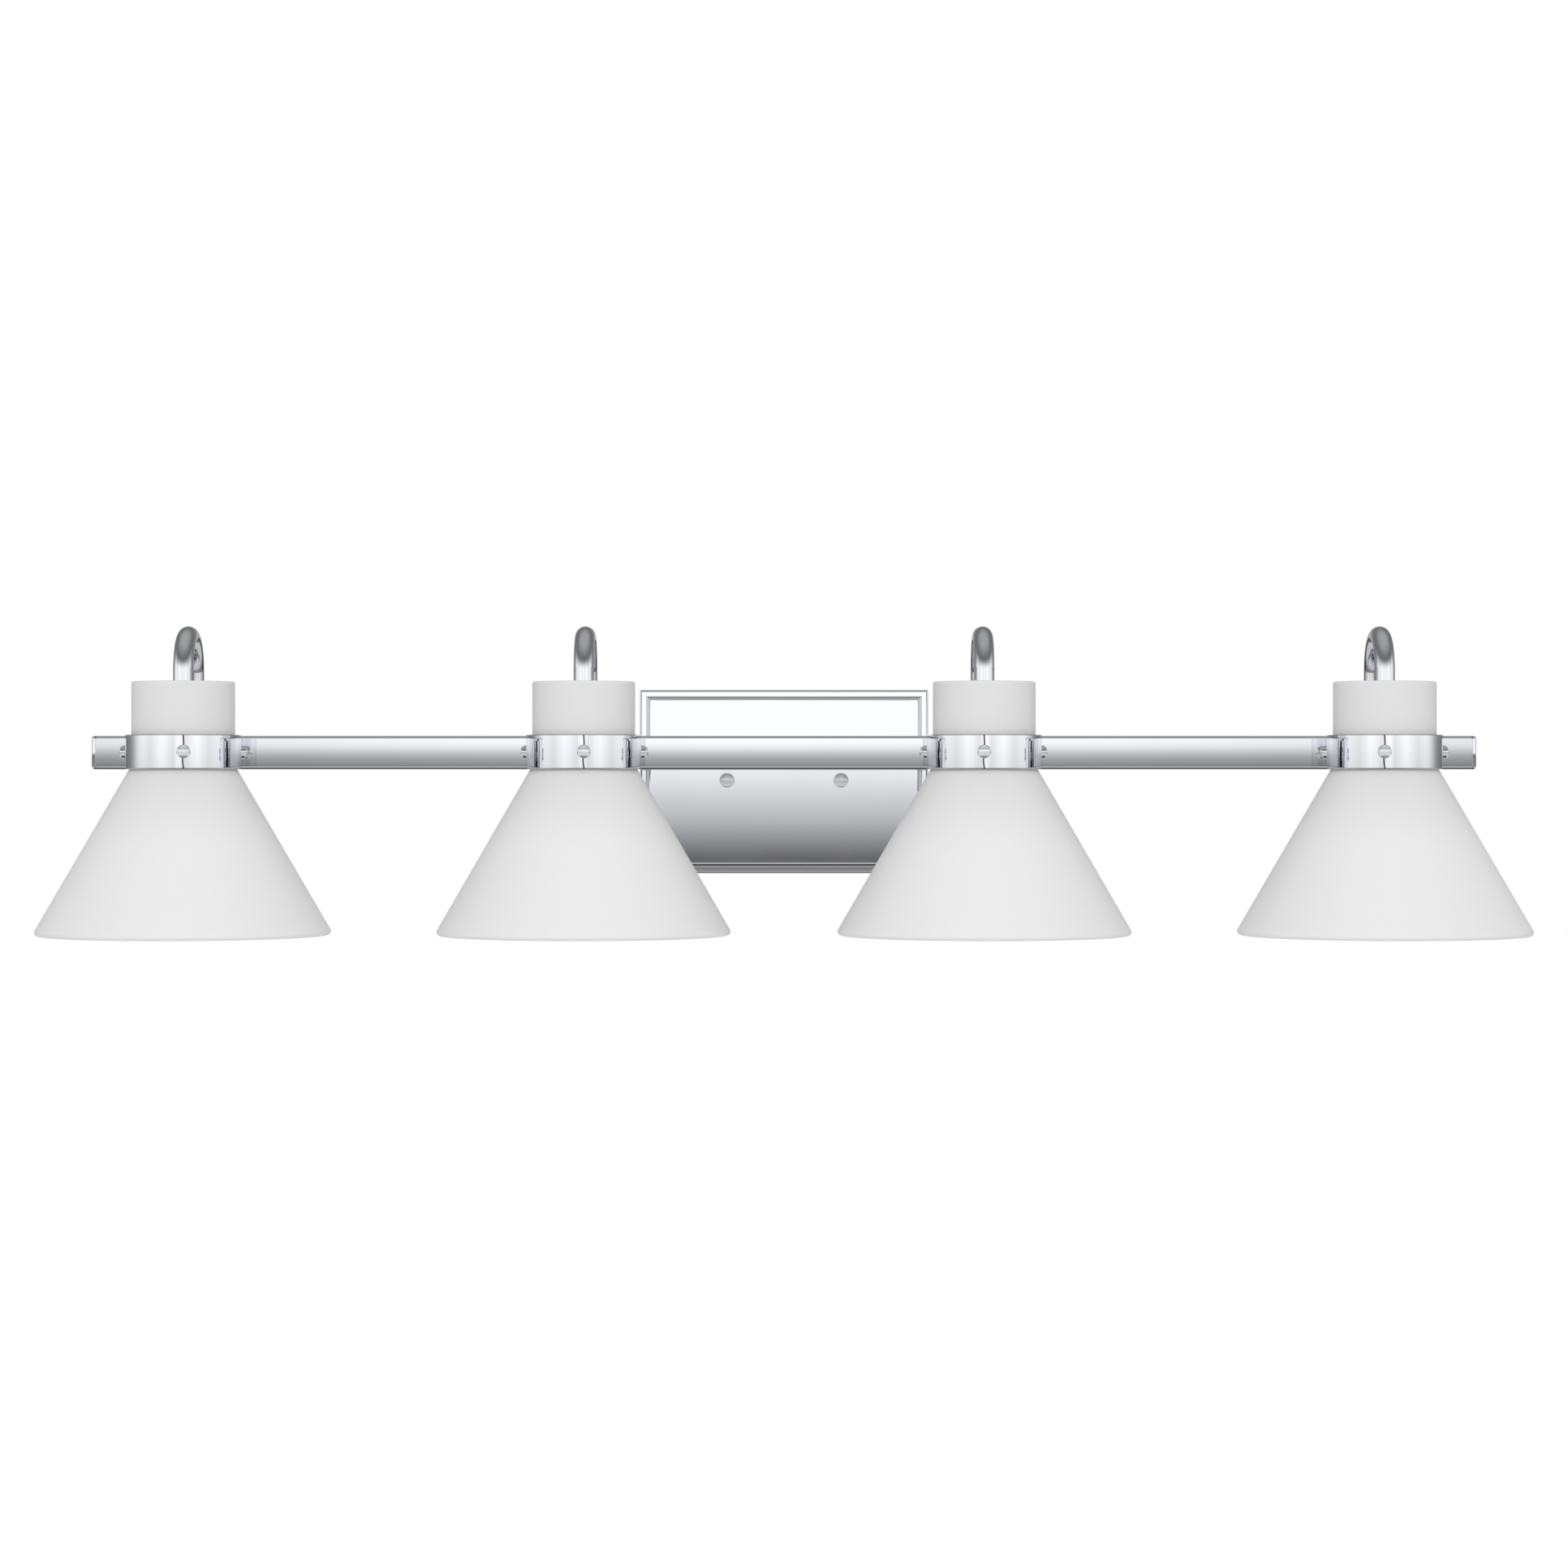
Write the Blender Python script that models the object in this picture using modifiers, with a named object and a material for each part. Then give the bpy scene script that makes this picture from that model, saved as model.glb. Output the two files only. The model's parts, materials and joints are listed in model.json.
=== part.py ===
"""Four-light vanity bar: opal glass shades hung in chrome rings from a rectangular bar on a wall canopy.

Frame, in metres: X runs along the bar, the front faces -Y, the wall is the plane y = 0, and Z is up.
The origin is the canopy's centre on the wall plane, at the back of the crossbar.
Each lamp hangs from an empty on its shade's axis, level with the bar's centre line.
"""

import math

import bmesh
import bpy
from mathutils import Matrix, Vector

MM = 0.001
FIT_GAP = 0.3 * MM  # clearance between pieces that touch or fit each other

# Layout
LAMP_COUNT = 4
LAMP_PITCH = 224.5 * MM
SHADE_REACH = 108.0 * MM  # wall to shade axis
BAR_RISE = 16.5 * MM  # canopy centre up to the bar's centre line

# Glass shade, heights counted from the bar's centre line
NECK_RADIUS = 28.75 * MM  # 2 1/4 inch fitter neck
NECK_RISE = 39.5 * MM
RIM_RADIUS = 82.25 * MM
RIM_DROP = 102.8 * MM
GLASS_WALL = 3.8 * MM
LIP_ROUND = 2.2 * MM
NECK_ROUND = 1.2 * MM

# Shade ring and its three thumbscrews
RING_PLAY = 1.5 * MM  # neck to ring
RING_WALL = 2.0 * MM
RING_HEIGHT = 19.0 * MM
RING_EDGE = 0.4 * MM
SEAM_WIDTH = 0.7 * MM
SEAM_DEPTH = 1.1 * MM
SCREW_COUNT = 3
SCREW_SHANK_RADIUS = 1.5 * MM
SCREW_HEAD_RADIUS = 3.85 * MM
SCREW_HEAD_LENGTH = 8.1 * MM
SCREW_DOME = 2.7 * MM
RING_FACING = 2200.0 * MM  # each ring's front screw points to a spot this far ahead of mid-bar

# Bar, its end caps and the two posts that carry it
BAR_OVERHANG = 57.25 * MM  # bar's end past the outermost shade's axis
BAR_HEIGHT = 19.0 * MM  # 3/4 inch
BAR_WALL = 1.2 * MM
BAR_EDGE = 1.6 * MM
CAP_THICKNESS = 2.2 * MM
CAP_TONGUE = 6.0 * MM
POST_SPACING = 110.0 * MM
POST_SET_IN = 1.5 * MM  # post's side to the bar's edge
POST_BORE_RADIUS = 4.5 * MM
SPIGOT_RADIUS = 5.9 * MM
SPIGOT_REACH = 1.0 * MM  # past the far side of what it goes through
NUT_FLATS = 16.0 * MM
NUT_THICKNESS = 3.0 * MM

# Gooseneck arm
ARM_RADIUS = 5.7 * MM
ARM_WALL = 1.0 * MM
ARM_ROOM = 1.1 * MM  # arm's side to the bar's inner side
ARM_RISE = 71.3 * MM  # bar centre line to the top of the bend
ARM_END_ROOM = 1.45 * MM  # back leg's end above the upper leads in the bar
CUP_TONGUE = 2.0 * MM  # how far the front leg reaches past the cup's top

# Socket cup, socket and lamp bulb
CUP_RADIUS = 19.5 * MM
CUP_WALL = 1.0 * MM
CUP_TOP = 27.5 * MM
CUP_LENGTH = 32.0 * MM
CUP_ROUND = 2.0 * MM
SOCKET_EDGE = 1.0 * MM
SOCKET_LENGTH = 38.2 * MM
SOCKET_WEB = 12.7 * MM  # solid top of the socket, above its screw shell
LEAD_HOLE_RADIUS = 3.0 * MM
SHELL_RADIUS = 14.3 * MM
SHELL_WALL = 0.5 * MM
SHELL_MOUTH = 0.5 * MM  # set back from the socket's mouth
CONTACT_HOLE_RADIUS = 5.4 * MM
BASE_RADIUS = 13.1 * MM  # E26 screw base
BASE_LENGTH = 25.0 * MM
BASE_SHOULDER = 4.4 * MM
TIP_RADIUS = 4.4 * MM
TIP_HEIGHT = 1.2 * MM
BULB_ROOM = 1.15 * MM  # globe to the shade's neck, which passes over it
BULB_LENGTH = 88.9 * MM
BULB_BLEND_ANGLE = 36.0  # degrees above the globe's middle where its neck begins

# Canopy, crossbar and fixings
CANOPY_WIDTH = 168.0 * MM
CANOPY_HEIGHT = 106.8 * MM
CANOPY_DEPTH = 24.0 * MM
CANOPY_STEP = 4.0 * MM
CANOPY_FLANGE = 4.4 * MM
CANOPY_EDGE = 1.2 * MM
CANOPY_WALL = 1.0 * MM
CROSSBAR_LENGTH = 112.0 * MM
CROSSBAR_WIDTH = 25.0 * MM
CROSSBAR_THICKNESS = 1.6 * MM
BOX_SLOT_SPACING = 88.9 * MM  # 3 1/2 inch junction box
BOX_SLOT_LENGTH = 9.0 * MM
BOX_SLOT_WIDTH = 4.8 * MM
STUD_SPACING = 66.4 * MM
STUD_RISE = 0.8 * MM
STUD_RADIUS = 2.0 * MM
STUD_REACH = 4.2 * MM  # past the canopy's front
FINIAL_RADIUS = 4.25 * MM
FINIAL_LENGTH = 7.0 * MM
FINIAL_ROUND = 1.3 * MM
FINIAL_END_PLAY = 0.6 * MM
GROUND_X = 14.0 * MM
GROUND_Z = 7.0 * MM
GROUND_HEAD_RADIUS = 3.75 * MM
GROUND_HEAD_HEIGHT = 2.2 * MM
GROUND_HEAD_EDGE = 0.4 * MM
GROUND_SHANK_RADIUS = 1.9 * MM

# Lamp leads
LEAD_RADIUS = 1.25 * MM
LEAD_LANE = 1.8 * MM  # above or below the bar's centre line
LEAD_TAIL = 24.0 * MM
LEAD_TAIL_DEPTH = 12.0 * MM  # in front of the wall
LEAD_BEND = 2.4 * MM
LEAD_END_PLAY = 1.5 * MM

# Facets
SHADE_STEPS = 32
CUP_STEPS = 16
BULB_STEPS = 16
SCREW_STEPS = 8
HOLE_SIDES = 16
SMALL_HOLE_SIDES = 12
ARM_BEND_STEPS = 5
ARM_RESOLUTION = 4
LEAD_BEND_STEPS = 3
LEAD_RESOLUTION = 2
EDGE_STEPS = 2
DOME_STEPS = 3
LIP_STEPS = 4
GLOBE_STEPS = 7
BULB_NECK_SHARES = (0.3, 0.6)
BAR_EDGE_STEPS = 3
SLOT_END_STEPS = 4
MERGE_DISTANCE = 0.02 * MM
FACING = 0.9  # a face looks along an axis when its normal's share of it is past this
FOLD_ANGLE = 0.1  # radians; an edge that bends more than this is a fold

# Places that several pieces share
RING_INNER = NECK_RADIUS + RING_PLAY
RING_OUTER = RING_INNER + RING_WALL
BAR_LENGTH = (LAMP_COUNT - 1) * LAMP_PITCH + 2 * BAR_OVERHANG  # over both end caps
BAR_DEPTH = 2 * (ARM_RADIUS + ARM_ROOM + BAR_WALL)
BAR_FRONT = RING_OUTER + FIT_GAP - SHADE_REACH  # the ring's back meets the bar's front face
BAR_Y = BAR_FRONT + BAR_DEPTH / 2
BAR_BACK = BAR_FRONT + BAR_DEPTH
ARM_SPREAD = BAR_Y + SHADE_REACH  # front leg to back leg
POST_RADIUS = BAR_HEIGHT / 2 - POST_SET_IN
CANOPY_FRONT = -CANOPY_DEPTH
CUP_INNER = CUP_RADIUS - CUP_WALL
SOCKET_TOP = CUP_TOP - CUP_WALL - CUP_TONGUE - FIT_GAP
SOCKET_BOTTOM = SOCKET_TOP - SOCKET_LENGTH
SHELL_TOP = SOCKET_TOP - SOCKET_WEB - FIT_GAP
BULB_TOP = SHELL_TOP - SHELL_WALL
BULB_RADIUS = NECK_RADIUS - GLASS_WALL - BULB_ROOM


def collection(name):
    made = bpy.data.collections.new(name)
    bpy.context.scene.collection.children.link(made)
    return made


def finish(name, colour, metallic, roughness):
    made = bpy.data.materials.new(name)
    made.use_nodes = True
    shader = made.node_tree.nodes["Principled BSDF"]
    shader.inputs["Base Color"].default_value = (*colour, 1.0)
    shader.inputs["Metallic"].default_value = metallic
    shader.inputs["Roughness"].default_value = roughness
    return made


def place(name, data, material, parent=None, location=(0, 0, 0), rotation=(0, 0, 0)):
    """Put a mesh or curve in the parts collection; rotation is in degrees."""
    item = bpy.data.objects.new(name, data)
    PARTS.objects.link(item)
    data.materials.append(material)
    item.parent = parent
    item.location = location
    item.rotation_euler = [math.radians(angle) for angle in rotation]
    return item


def empty(name, location):
    item = bpy.data.objects.new(name, None)
    PARTS.objects.link(item)
    item.location = location
    return item


def cut(item, tool_mesh, location, rotation=(0, 0, 0), parent=None):
    """Take a tool's shape out of a piece."""
    tool = bpy.data.objects.new(f"cutter_{item.name}", tool_mesh)
    CUTTERS.objects.link(tool)
    tool.parent = parent
    tool.location = location
    tool.rotation_euler = [math.radians(angle) for angle in rotation]
    tool.hide_render = True
    tool.display_type = "WIRE"
    hole = item.modifiers.new("hole", "BOOLEAN")
    hole.operation = "DIFFERENCE"
    hole.object = tool


def finished_mesh(name, shape):
    mesh = bpy.data.meshes.new(name)
    shape.to_mesh(mesh)
    shape.free()
    return mesh


def cylinder(name, radius, length, sides):
    shape = bmesh.new()
    bmesh.ops.create_cone(
        shape, cap_ends=True, segments=sides, radius1=radius, radius2=radius, depth=length
    )
    return finished_mesh(name, shape)


def block(name, size):
    shape = bmesh.new()
    bmesh.ops.create_cube(shape, size=1.0, matrix=Matrix.Diagonal((*size, 1.0)))
    return finished_mesh(name, shape)


def round_over(shape, edges, radius, steps):
    bmesh.ops.bevel(shape, geom=edges, affect="EDGES", offset=radius, segments=steps, profile=0.5)


def raise_face(shape, face, travel):
    """Extrude one face along a vector."""
    grown = bmesh.ops.extrude_face_region(shape, geom=[face])
    moved = [item for item in grown["geom"] if isinstance(item, bmesh.types.BMVert)]
    bmesh.ops.translate(shape, vec=travel, verts=moved)
    bmesh.ops.delete(shape, geom=[face], context="FACES_ONLY")


def arc(centre, radii, start, stop, steps):
    """Points on an elliptical arc; angles in degrees from the first axis towards the second."""
    points = []
    for step in range(steps + 1):
        angle = math.radians(start + (stop - start) * step / steps)
        points.append((centre[0] + radii[0] * math.cos(angle), centre[1] + radii[1] * math.sin(angle)))
    return points


def turned(name, profile, steps, material, parent=None, location=(0, 0, 0), rotation=(0, 0, 0)):
    """A piece that turns a profile of (radius, height) about its own Z.

    The profile runs down the outer side. It closes on itself, unless it starts and ends on the axis.
    """
    shape = bmesh.new()
    corners = [shape.verts.new((radius, 0.0, height)) for radius, height in profile]
    for upper, lower in zip(corners, corners[1:]):
        shape.edges.new((upper, lower))
    if profile[0][0] > 0.0:
        shape.edges.new((corners[-1], corners[0]))
    item = place(name, finished_mesh(name, shape), material, parent, location, rotation)
    spin = item.modifiers.new("turn", "SCREW")
    spin.steps = steps
    spin.render_steps = steps
    spin.use_merge_vertices = True
    spin.merge_threshold = MERGE_DISTANCE
    spin.use_smooth_shade = True
    return item


def rounded_route(corners, radii, steps):
    """Points along straight runs joined by arcs; steps is the count along a quarter turn."""
    route = [Vector(corners[0])]
    for before, corner, after, radius in zip(corners, corners[1:], corners[2:], radii):
        corner = Vector(corner)
        back = (Vector(before) - corner).normalized()
        ahead = (Vector(after) - corner).normalized()
        centre = corner + (back + ahead) * radius
        for step in range(steps + 1):
            angle = math.pi / 2 * step / steps
            spot = centre - ahead * radius * math.cos(angle) - back * radius * math.sin(angle)
            if (spot - route[-1]).length > MERGE_DISTANCE:
                route.append(spot)
    route.append(Vector(corners[-1]))
    return route


def tube(name, route, radius, resolution, capped):
    curve = bpy.data.curves.new(name, "CURVE")
    curve.dimensions = "3D"
    curve.fill_mode = "FULL"
    curve.bevel_depth = radius
    curve.bevel_resolution = resolution
    curve.use_fill_caps = capped
    spline = curve.splines.new("POLY")
    spline.points.add(len(route) - 1)
    for point, spot in zip(spline.points, route):
        point.co = (*spot, 1.0)
    return curve


def flat_plate(name, outlines, thickness):
    """A plate from flat closed outlines; an outline inside another is a hole."""
    curve = bpy.data.curves.new(name, "CURVE")
    curve.dimensions = "2D"
    curve.fill_mode = "BOTH"
    curve.extrude = thickness / 2
    for outline in outlines:
        spline = curve.splines.new("POLY")
        spline.points.add(len(outline) - 1)
        spline.use_cyclic_u = True
        for point, (across, up) in zip(spline.points, outline):
            point.co = (across, up, 0.0, 1.0)
    return curve


def circle_outline(centre, radius, sides):
    return arc(centre, (radius, radius), 0, 360 * (sides - 1) / sides, sides - 1)


def slot_outline(centre, length, width, steps):
    half_run = (length - width) / 2
    round_end = (width / 2, width / 2)
    right = arc((centre[0] + half_run, centre[1]), round_end, -90, 90, steps)
    left = arc((centre[0] - half_run, centre[1]), round_end, 90, 270, steps)
    return right + left


def rectangle_outline(width, height):
    across, up = width / 2, height / 2
    return [(-across, -up), (across, -up), (across, up), (-across, up)]


def shade_profile():
    """Straight neck, then a cone that clears the ring's lower edge and runs tangent into the lip."""
    lip = (RIM_RADIUS - LIP_ROUND, LIP_ROUND - RIM_DROP)
    out, down = lip[0] - RING_INNER, -RING_HEIGHT / 2 - lip[1]
    lean = math.atan2(out, down) + math.asin((LIP_ROUND + FIT_GAP) / math.hypot(out, down))
    cone_start = -RING_HEIGHT / 2 + (RING_PLAY - FIT_GAP / math.cos(lean)) / math.tan(lean)
    top = (NECK_RADIUS - NECK_ROUND, NECK_RISE - NECK_ROUND)
    outer = arc(top, (NECK_ROUND, NECK_ROUND), 90, 0, EDGE_STEPS)
    outer.append((NECK_RADIUS, cone_start))
    outer += arc(lip, (LIP_ROUND, LIP_ROUND), math.degrees(lean), -90, LIP_STEPS)
    neck_inner = NECK_RADIUS - GLASS_WALL
    inner_cone_top = cone_start - GLASS_WALL * math.tan(lean / 2)
    rim_inner = neck_inner + (RIM_DROP + inner_cone_top) * math.tan(lean)
    return outer + [(rim_inner, -RIM_DROP), (neck_inner, inner_cone_top), (neck_inner, NECK_RISE)]


def ring_profile():
    top = RING_HEIGHT / 2
    return [
        (RING_OUTER - RING_EDGE, top),
        (RING_OUTER, top - RING_EDGE),
        (RING_OUTER, RING_EDGE - top),
        (RING_OUTER - RING_EDGE, -top),
        (RING_INNER, -top),
        (RING_INNER, top),
    ]


def thumbscrew_profile():
    """Tip at the glass, shank through the ring, domed head outside; height is distance from the axis."""
    tip = NECK_RADIUS + FIT_GAP
    seat = RING_OUTER + FIT_GAP
    dome_start = seat + SCREW_HEAD_LENGTH - SCREW_DOME
    head = arc((0, dome_start), (SCREW_HEAD_RADIUS, SCREW_DOME), 90, 0, DOME_STEPS)
    head[0] = (0.0, head[0][1])
    shank = [(SCREW_SHANK_RADIUS, seat), (SCREW_SHANK_RADIUS, tip), (0.0, tip)]
    return head + [(SCREW_HEAD_RADIUS, seat)] + shank


def cup_profile():
    hole = ARM_RADIUS + FIT_GAP
    shoulder = arc((CUP_RADIUS - CUP_ROUND, CUP_TOP - CUP_ROUND), (CUP_ROUND, CUP_ROUND), 90, 0, EDGE_STEPS)
    bottom = CUP_TOP - CUP_LENGTH
    ceiling = CUP_TOP - CUP_WALL
    inner_round = CUP_ROUND - CUP_WALL
    side = [(CUP_RADIUS, bottom), (CUP_INNER, bottom), (CUP_INNER, ceiling - inner_round)]
    return [(hole, CUP_TOP)] + shoulder + side + [(CUP_INNER - inner_round, ceiling), (hole, ceiling)]


def socket_profile():
    outer = CUP_INNER - FIT_GAP
    bore = SHELL_RADIUS + FIT_GAP
    ceiling = SOCKET_TOP - SOCKET_WEB
    return [
        (LEAD_HOLE_RADIUS, SOCKET_TOP),
        (outer - SOCKET_EDGE, SOCKET_TOP),
        (outer, SOCKET_TOP - SOCKET_EDGE),
        (outer, SOCKET_BOTTOM),
        (bore, SOCKET_BOTTOM),
        (bore, ceiling),
        (LEAD_HOLE_RADIUS, ceiling),
    ]


def shell_profile():
    inner = SHELL_RADIUS - SHELL_WALL
    mouth = SOCKET_BOTTOM + SHELL_MOUTH
    return [
        (CONTACT_HOLE_RADIUS, SHELL_TOP),
        (SHELL_RADIUS, SHELL_TOP),
        (SHELL_RADIUS, mouth),
        (inner, mouth),
        (inner, SHELL_TOP - SHELL_WALL),
        (CONTACT_HOLE_RADIUS, SHELL_TOP - SHELL_WALL),
    ]


def bulb_profile():
    """Contact tip, screw base, and a glass neck that swells into a round globe."""
    globe_z = BULB_TOP - BULB_LENGTH + BULB_RADIUS
    base_end = BULB_TOP - BASE_LENGTH
    base = [
        (0.0, BULB_TOP),
        (TIP_RADIUS, BULB_TOP),
        (TIP_RADIUS, BULB_TOP - TIP_HEIGHT),
        (BASE_RADIUS, BULB_TOP - BASE_SHOULDER),
        (BASE_RADIUS, base_end),
    ]
    globe = arc((0, globe_z), (BULB_RADIUS, BULB_RADIUS), BULB_BLEND_ANGLE, -90, GLOBE_STEPS)
    globe[-1] = (0.0, globe[-1][1])
    start_radius, start_z = globe[0]
    slope = math.tan(math.radians(BULB_BLEND_ANGLE)) * (base_end - start_z)
    neck = []
    for share in BULB_NECK_SHARES:  # along a cubic, upright at the base, that meets the globe's own slope
        rest = 1.0 - share
        radius = BASE_RADIUS * rest * rest * (1 + 2 * share) + start_radius * share * share * (1 + 2 * rest)
        radius -= slope * share * share * rest
        neck.append((radius, base_end + (start_z - base_end) * share))
    return base + neck + globe


def finial_profile():
    """Round-edged cap nut; height is distance in front of the canopy."""
    bore = STUD_RADIUS + FIT_GAP
    bore_end = STUD_REACH + FINIAL_END_PLAY
    front = FIT_GAP + FINIAL_LENGTH
    rim_centre = (FINIAL_RADIUS - FINIAL_ROUND, front - FINIAL_ROUND)
    rim = arc(rim_centre, (FINIAL_ROUND, FINIAL_ROUND), 90, 0, DOME_STEPS)
    blind_hole = [(bore, FIT_GAP), (bore, bore_end), (0.0, bore_end)]
    return [(0.0, front)] + rim + [(FINIAL_RADIUS, FIT_GAP)] + blind_hole


def post_profile():
    """Hollow post with a spigot at each end; height is distance from the wall."""
    canopy_end = -CANOPY_FRONT - CANOPY_WALL - FIT_GAP - NUT_THICKNESS - SPIGOT_REACH
    bar_end = BAR_WALL - BAR_BACK + SPIGOT_REACH
    return [
        (SPIGOT_RADIUS, bar_end),
        (SPIGOT_RADIUS, -BAR_BACK - FIT_GAP),
        (POST_RADIUS, -BAR_BACK - FIT_GAP),
        (POST_RADIUS, FIT_GAP - CANOPY_FRONT),
        (SPIGOT_RADIUS, FIT_GAP - CANOPY_FRONT),
        (SPIGOT_RADIUS, canopy_end),
        (POST_BORE_RADIUS, canopy_end),
        (POST_BORE_RADIUS, bar_end),
    ]


def ground_screw_profile():
    seat = CROSSBAR_THICKNESS + FIT_GAP
    front = seat + GROUND_HEAD_HEIGHT
    return [
        (0.0, front),
        (GROUND_HEAD_RADIUS - GROUND_HEAD_EDGE, front),
        (GROUND_HEAD_RADIUS, front - GROUND_HEAD_EDGE),
        (GROUND_HEAD_RADIUS, seat),
        (GROUND_SHANK_RADIUS, seat),
        (GROUND_SHANK_RADIUS, FIT_GAP),
        (0.0, FIT_GAP),
    ]


def bar_mesh():
    """The bar's outer skin, open at both ends."""
    shape = bmesh.new()
    length = BAR_LENGTH - 2 * (CAP_THICKNESS + FIT_GAP)
    bmesh.ops.create_cube(shape, size=1.0, matrix=Matrix.Diagonal((length, BAR_DEPTH, BAR_HEIGHT, 1.0)))
    ends = [face for face in shape.faces if abs(face.normal.x) > FACING]
    bmesh.ops.delete(shape, geom=ends, context="FACES_ONLY")
    long_edges = [edge for edge in shape.edges if len(edge.link_faces) == 2]
    round_over(shape, long_edges, BAR_EDGE, BAR_EDGE_STEPS)
    return finished_mesh("bar_tube", shape)


def end_cap_mesh():
    """A rounded plate with a tongue that enters the bar; its outside faces +X."""
    shape = bmesh.new()
    size = Matrix.Diagonal((CAP_THICKNESS, BAR_DEPTH, BAR_HEIGHT, 1.0))
    bmesh.ops.create_cube(shape, size=1.0, matrix=size)
    inside = [face for face in shape.faces if face.normal.x < -FACING][0]
    rounded = [edge for edge in shape.edges if inside not in edge.link_faces]
    round_over(shape, rounded, BAR_EDGE, EDGE_STEPS)
    inside = min(shape.faces, key=lambda face: face.calc_center_median().x)
    bmesh.ops.inset_region(shape, faces=[inside], thickness=BAR_WALL + FIT_GAP, use_even_offset=True)
    raise_face(shape, inside, (-CAP_TONGUE, 0, 0))
    return finished_mesh("bar_end_cap", shape)


def canopy_mesh():
    """The canopy's outer skin: a shallow pan, open at the wall, with a raised front panel."""
    shape = bmesh.new()
    pan_depth = CANOPY_DEPTH - CANOPY_STEP
    size = Matrix.Diagonal((CANOPY_WIDTH, pan_depth, CANOPY_HEIGHT, 1.0))
    bmesh.ops.create_cube(shape, size=1.0, matrix=Matrix.Translation((0, -pan_depth / 2, 0)) @ size)
    back = [face for face in shape.faces if face.normal.y > FACING]
    bmesh.ops.delete(shape, geom=back, context="FACES_ONLY")
    front = [face for face in shape.faces if face.normal.y < -FACING][0]
    bmesh.ops.inset_region(shape, faces=[front], thickness=CANOPY_FLANGE, use_even_offset=True)
    raise_face(shape, front, (0, -CANOPY_STEP, 0))
    inner_edges = [edge for edge in shape.edges if len(edge.link_faces) == 2]
    folds = [edge for edge in inner_edges if edge.calc_face_angle() > FOLD_ANGLE]
    round_over(shape, folds, CANOPY_EDGE, EDGE_STEPS)
    return finished_mesh("canopy", shape)


def shell_out(item, thickness):
    """Give an open skin its wall, inwards."""
    wall = item.modifiers.new("wall", "SOLIDIFY")
    wall.thickness = thickness
    wall.offset = -1.0
    wall.use_even_offset = True


def arm_corners():
    """Front leg, bend and back leg, from the cup to inside the bar, in the lamp's own frame."""
    over = ARM_RISE - ARM_RADIUS
    front_end = CUP_TOP - CUP_WALL - CUP_TONGUE
    back_end = LEAD_LANE + LEAD_RADIUS + ARM_END_ROOM
    return [(0, 0, front_end), (0, 0, over), (0, ARM_SPREAD, over), (0, ARM_SPREAD, back_end)]


def lead_route(lamp_x, lane):
    """From the socket's web through the arm, along the bar, through a post and up or down in the canopy."""
    arm = arm_corners()
    side = math.copysign(1.0, lamp_x)
    to_post = side * POST_SPACING / 2 - lamp_x
    to_wall = SHADE_REACH - LEAD_TAIL_DEPTH
    corners = [(0, 0, SOCKET_TOP - SOCKET_WEB + LEAD_END_PLAY), arm[1], arm[2]]
    corners.append((0, ARM_SPREAD, lane))
    corners.append((to_post, ARM_SPREAD, lane))
    corners.append((to_post, to_wall, lane))
    corners.append((to_post, to_wall, lane + math.copysign(LEAD_TAIL, lane)))
    bend = ARM_SPREAD / 2
    return rounded_route(corners, [bend, bend, LEAD_BEND, LEAD_BEND, LEAD_BEND], LEAD_BEND_STEPS)


def build_lamp(number, lamp_x):
    """One lamp: ring, thumbscrews, shade, arm, cup, socket, bulb and lead."""
    lamp = empty(f"lamp_{number}_axis", (lamp_x, -SHADE_REACH, BAR_RISE))

    ring = turned(f"shade_ring_{number}", ring_profile(), SHADE_STEPS, CHROME, lamp)
    shank_hole = cylinder("shank_hole", SCREW_SHANK_RADIUS + FIT_GAP, 3 * RING_WALL, SMALL_HOLE_SIDES)
    screw_names = ("front", "right", "left")
    ring_turn = math.degrees(math.atan2(-lamp_x, RING_FACING))
    for index, side in enumerate(screw_names[:SCREW_COUNT]):
        turn = 360 * index / SCREW_COUNT - 90 + ring_turn
        out = Vector((math.cos(math.radians(turn)), math.sin(math.radians(turn)), 0))
        cut(ring, shank_hole, out * (RING_INNER + RING_WALL / 2), (0, 90, turn), lamp)
        screw_name = f"thumbscrew_{number}_{side}"
        turned(screw_name, thumbscrew_profile(), SCREW_STEPS, CHROME, lamp, rotation=(0, 90, turn))
    groove = block("seam", (SEAM_WIDTH, 2 * SEAM_DEPTH, 2 * RING_HEIGHT))
    seam_place = Matrix.Rotation(math.radians(ring_turn), 3, "Z") @ Vector((0, -RING_OUTER, 0))
    cut(ring, groove, seam_place, (0, 0, ring_turn), lamp)

    turned(f"shade_{number}", shade_profile(), SHADE_STEPS, OPAL_GLASS, lamp)

    arm_route = rounded_route(arm_corners(), [ARM_SPREAD / 2, ARM_SPREAD / 2], ARM_BEND_STEPS)
    arm_tube = tube("arm", arm_route, ARM_RADIUS, ARM_RESOLUTION, capped=False)
    arm = place(f"arm_{number}", arm_tube, CHROME, lamp)
    shell_out(arm, ARM_WALL)

    turned(f"socket_cup_{number}", cup_profile(), CUP_STEPS, CHROME, lamp)
    turned(f"socket_body_{number}", socket_profile(), CUP_STEPS, PHENOLIC, lamp)
    turned(f"socket_shell_{number}", shell_profile(), BULB_STEPS, BRASS, lamp)
    turned(f"bulb_{number}", bulb_profile(), BULB_STEPS, BULB_GLASS, lamp)

    outermost = number in (1, LAMP_COUNT)
    lane = -LEAD_LANE if outermost else LEAD_LANE
    route = lead_route(lamp_x, lane)
    lead = tube("lamp_lead", route, LEAD_RADIUS, LEAD_RESOLUTION, capped=True)
    place(f"lamp_lead_{number}", lead, LEAD_JACKET, lamp)


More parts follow.
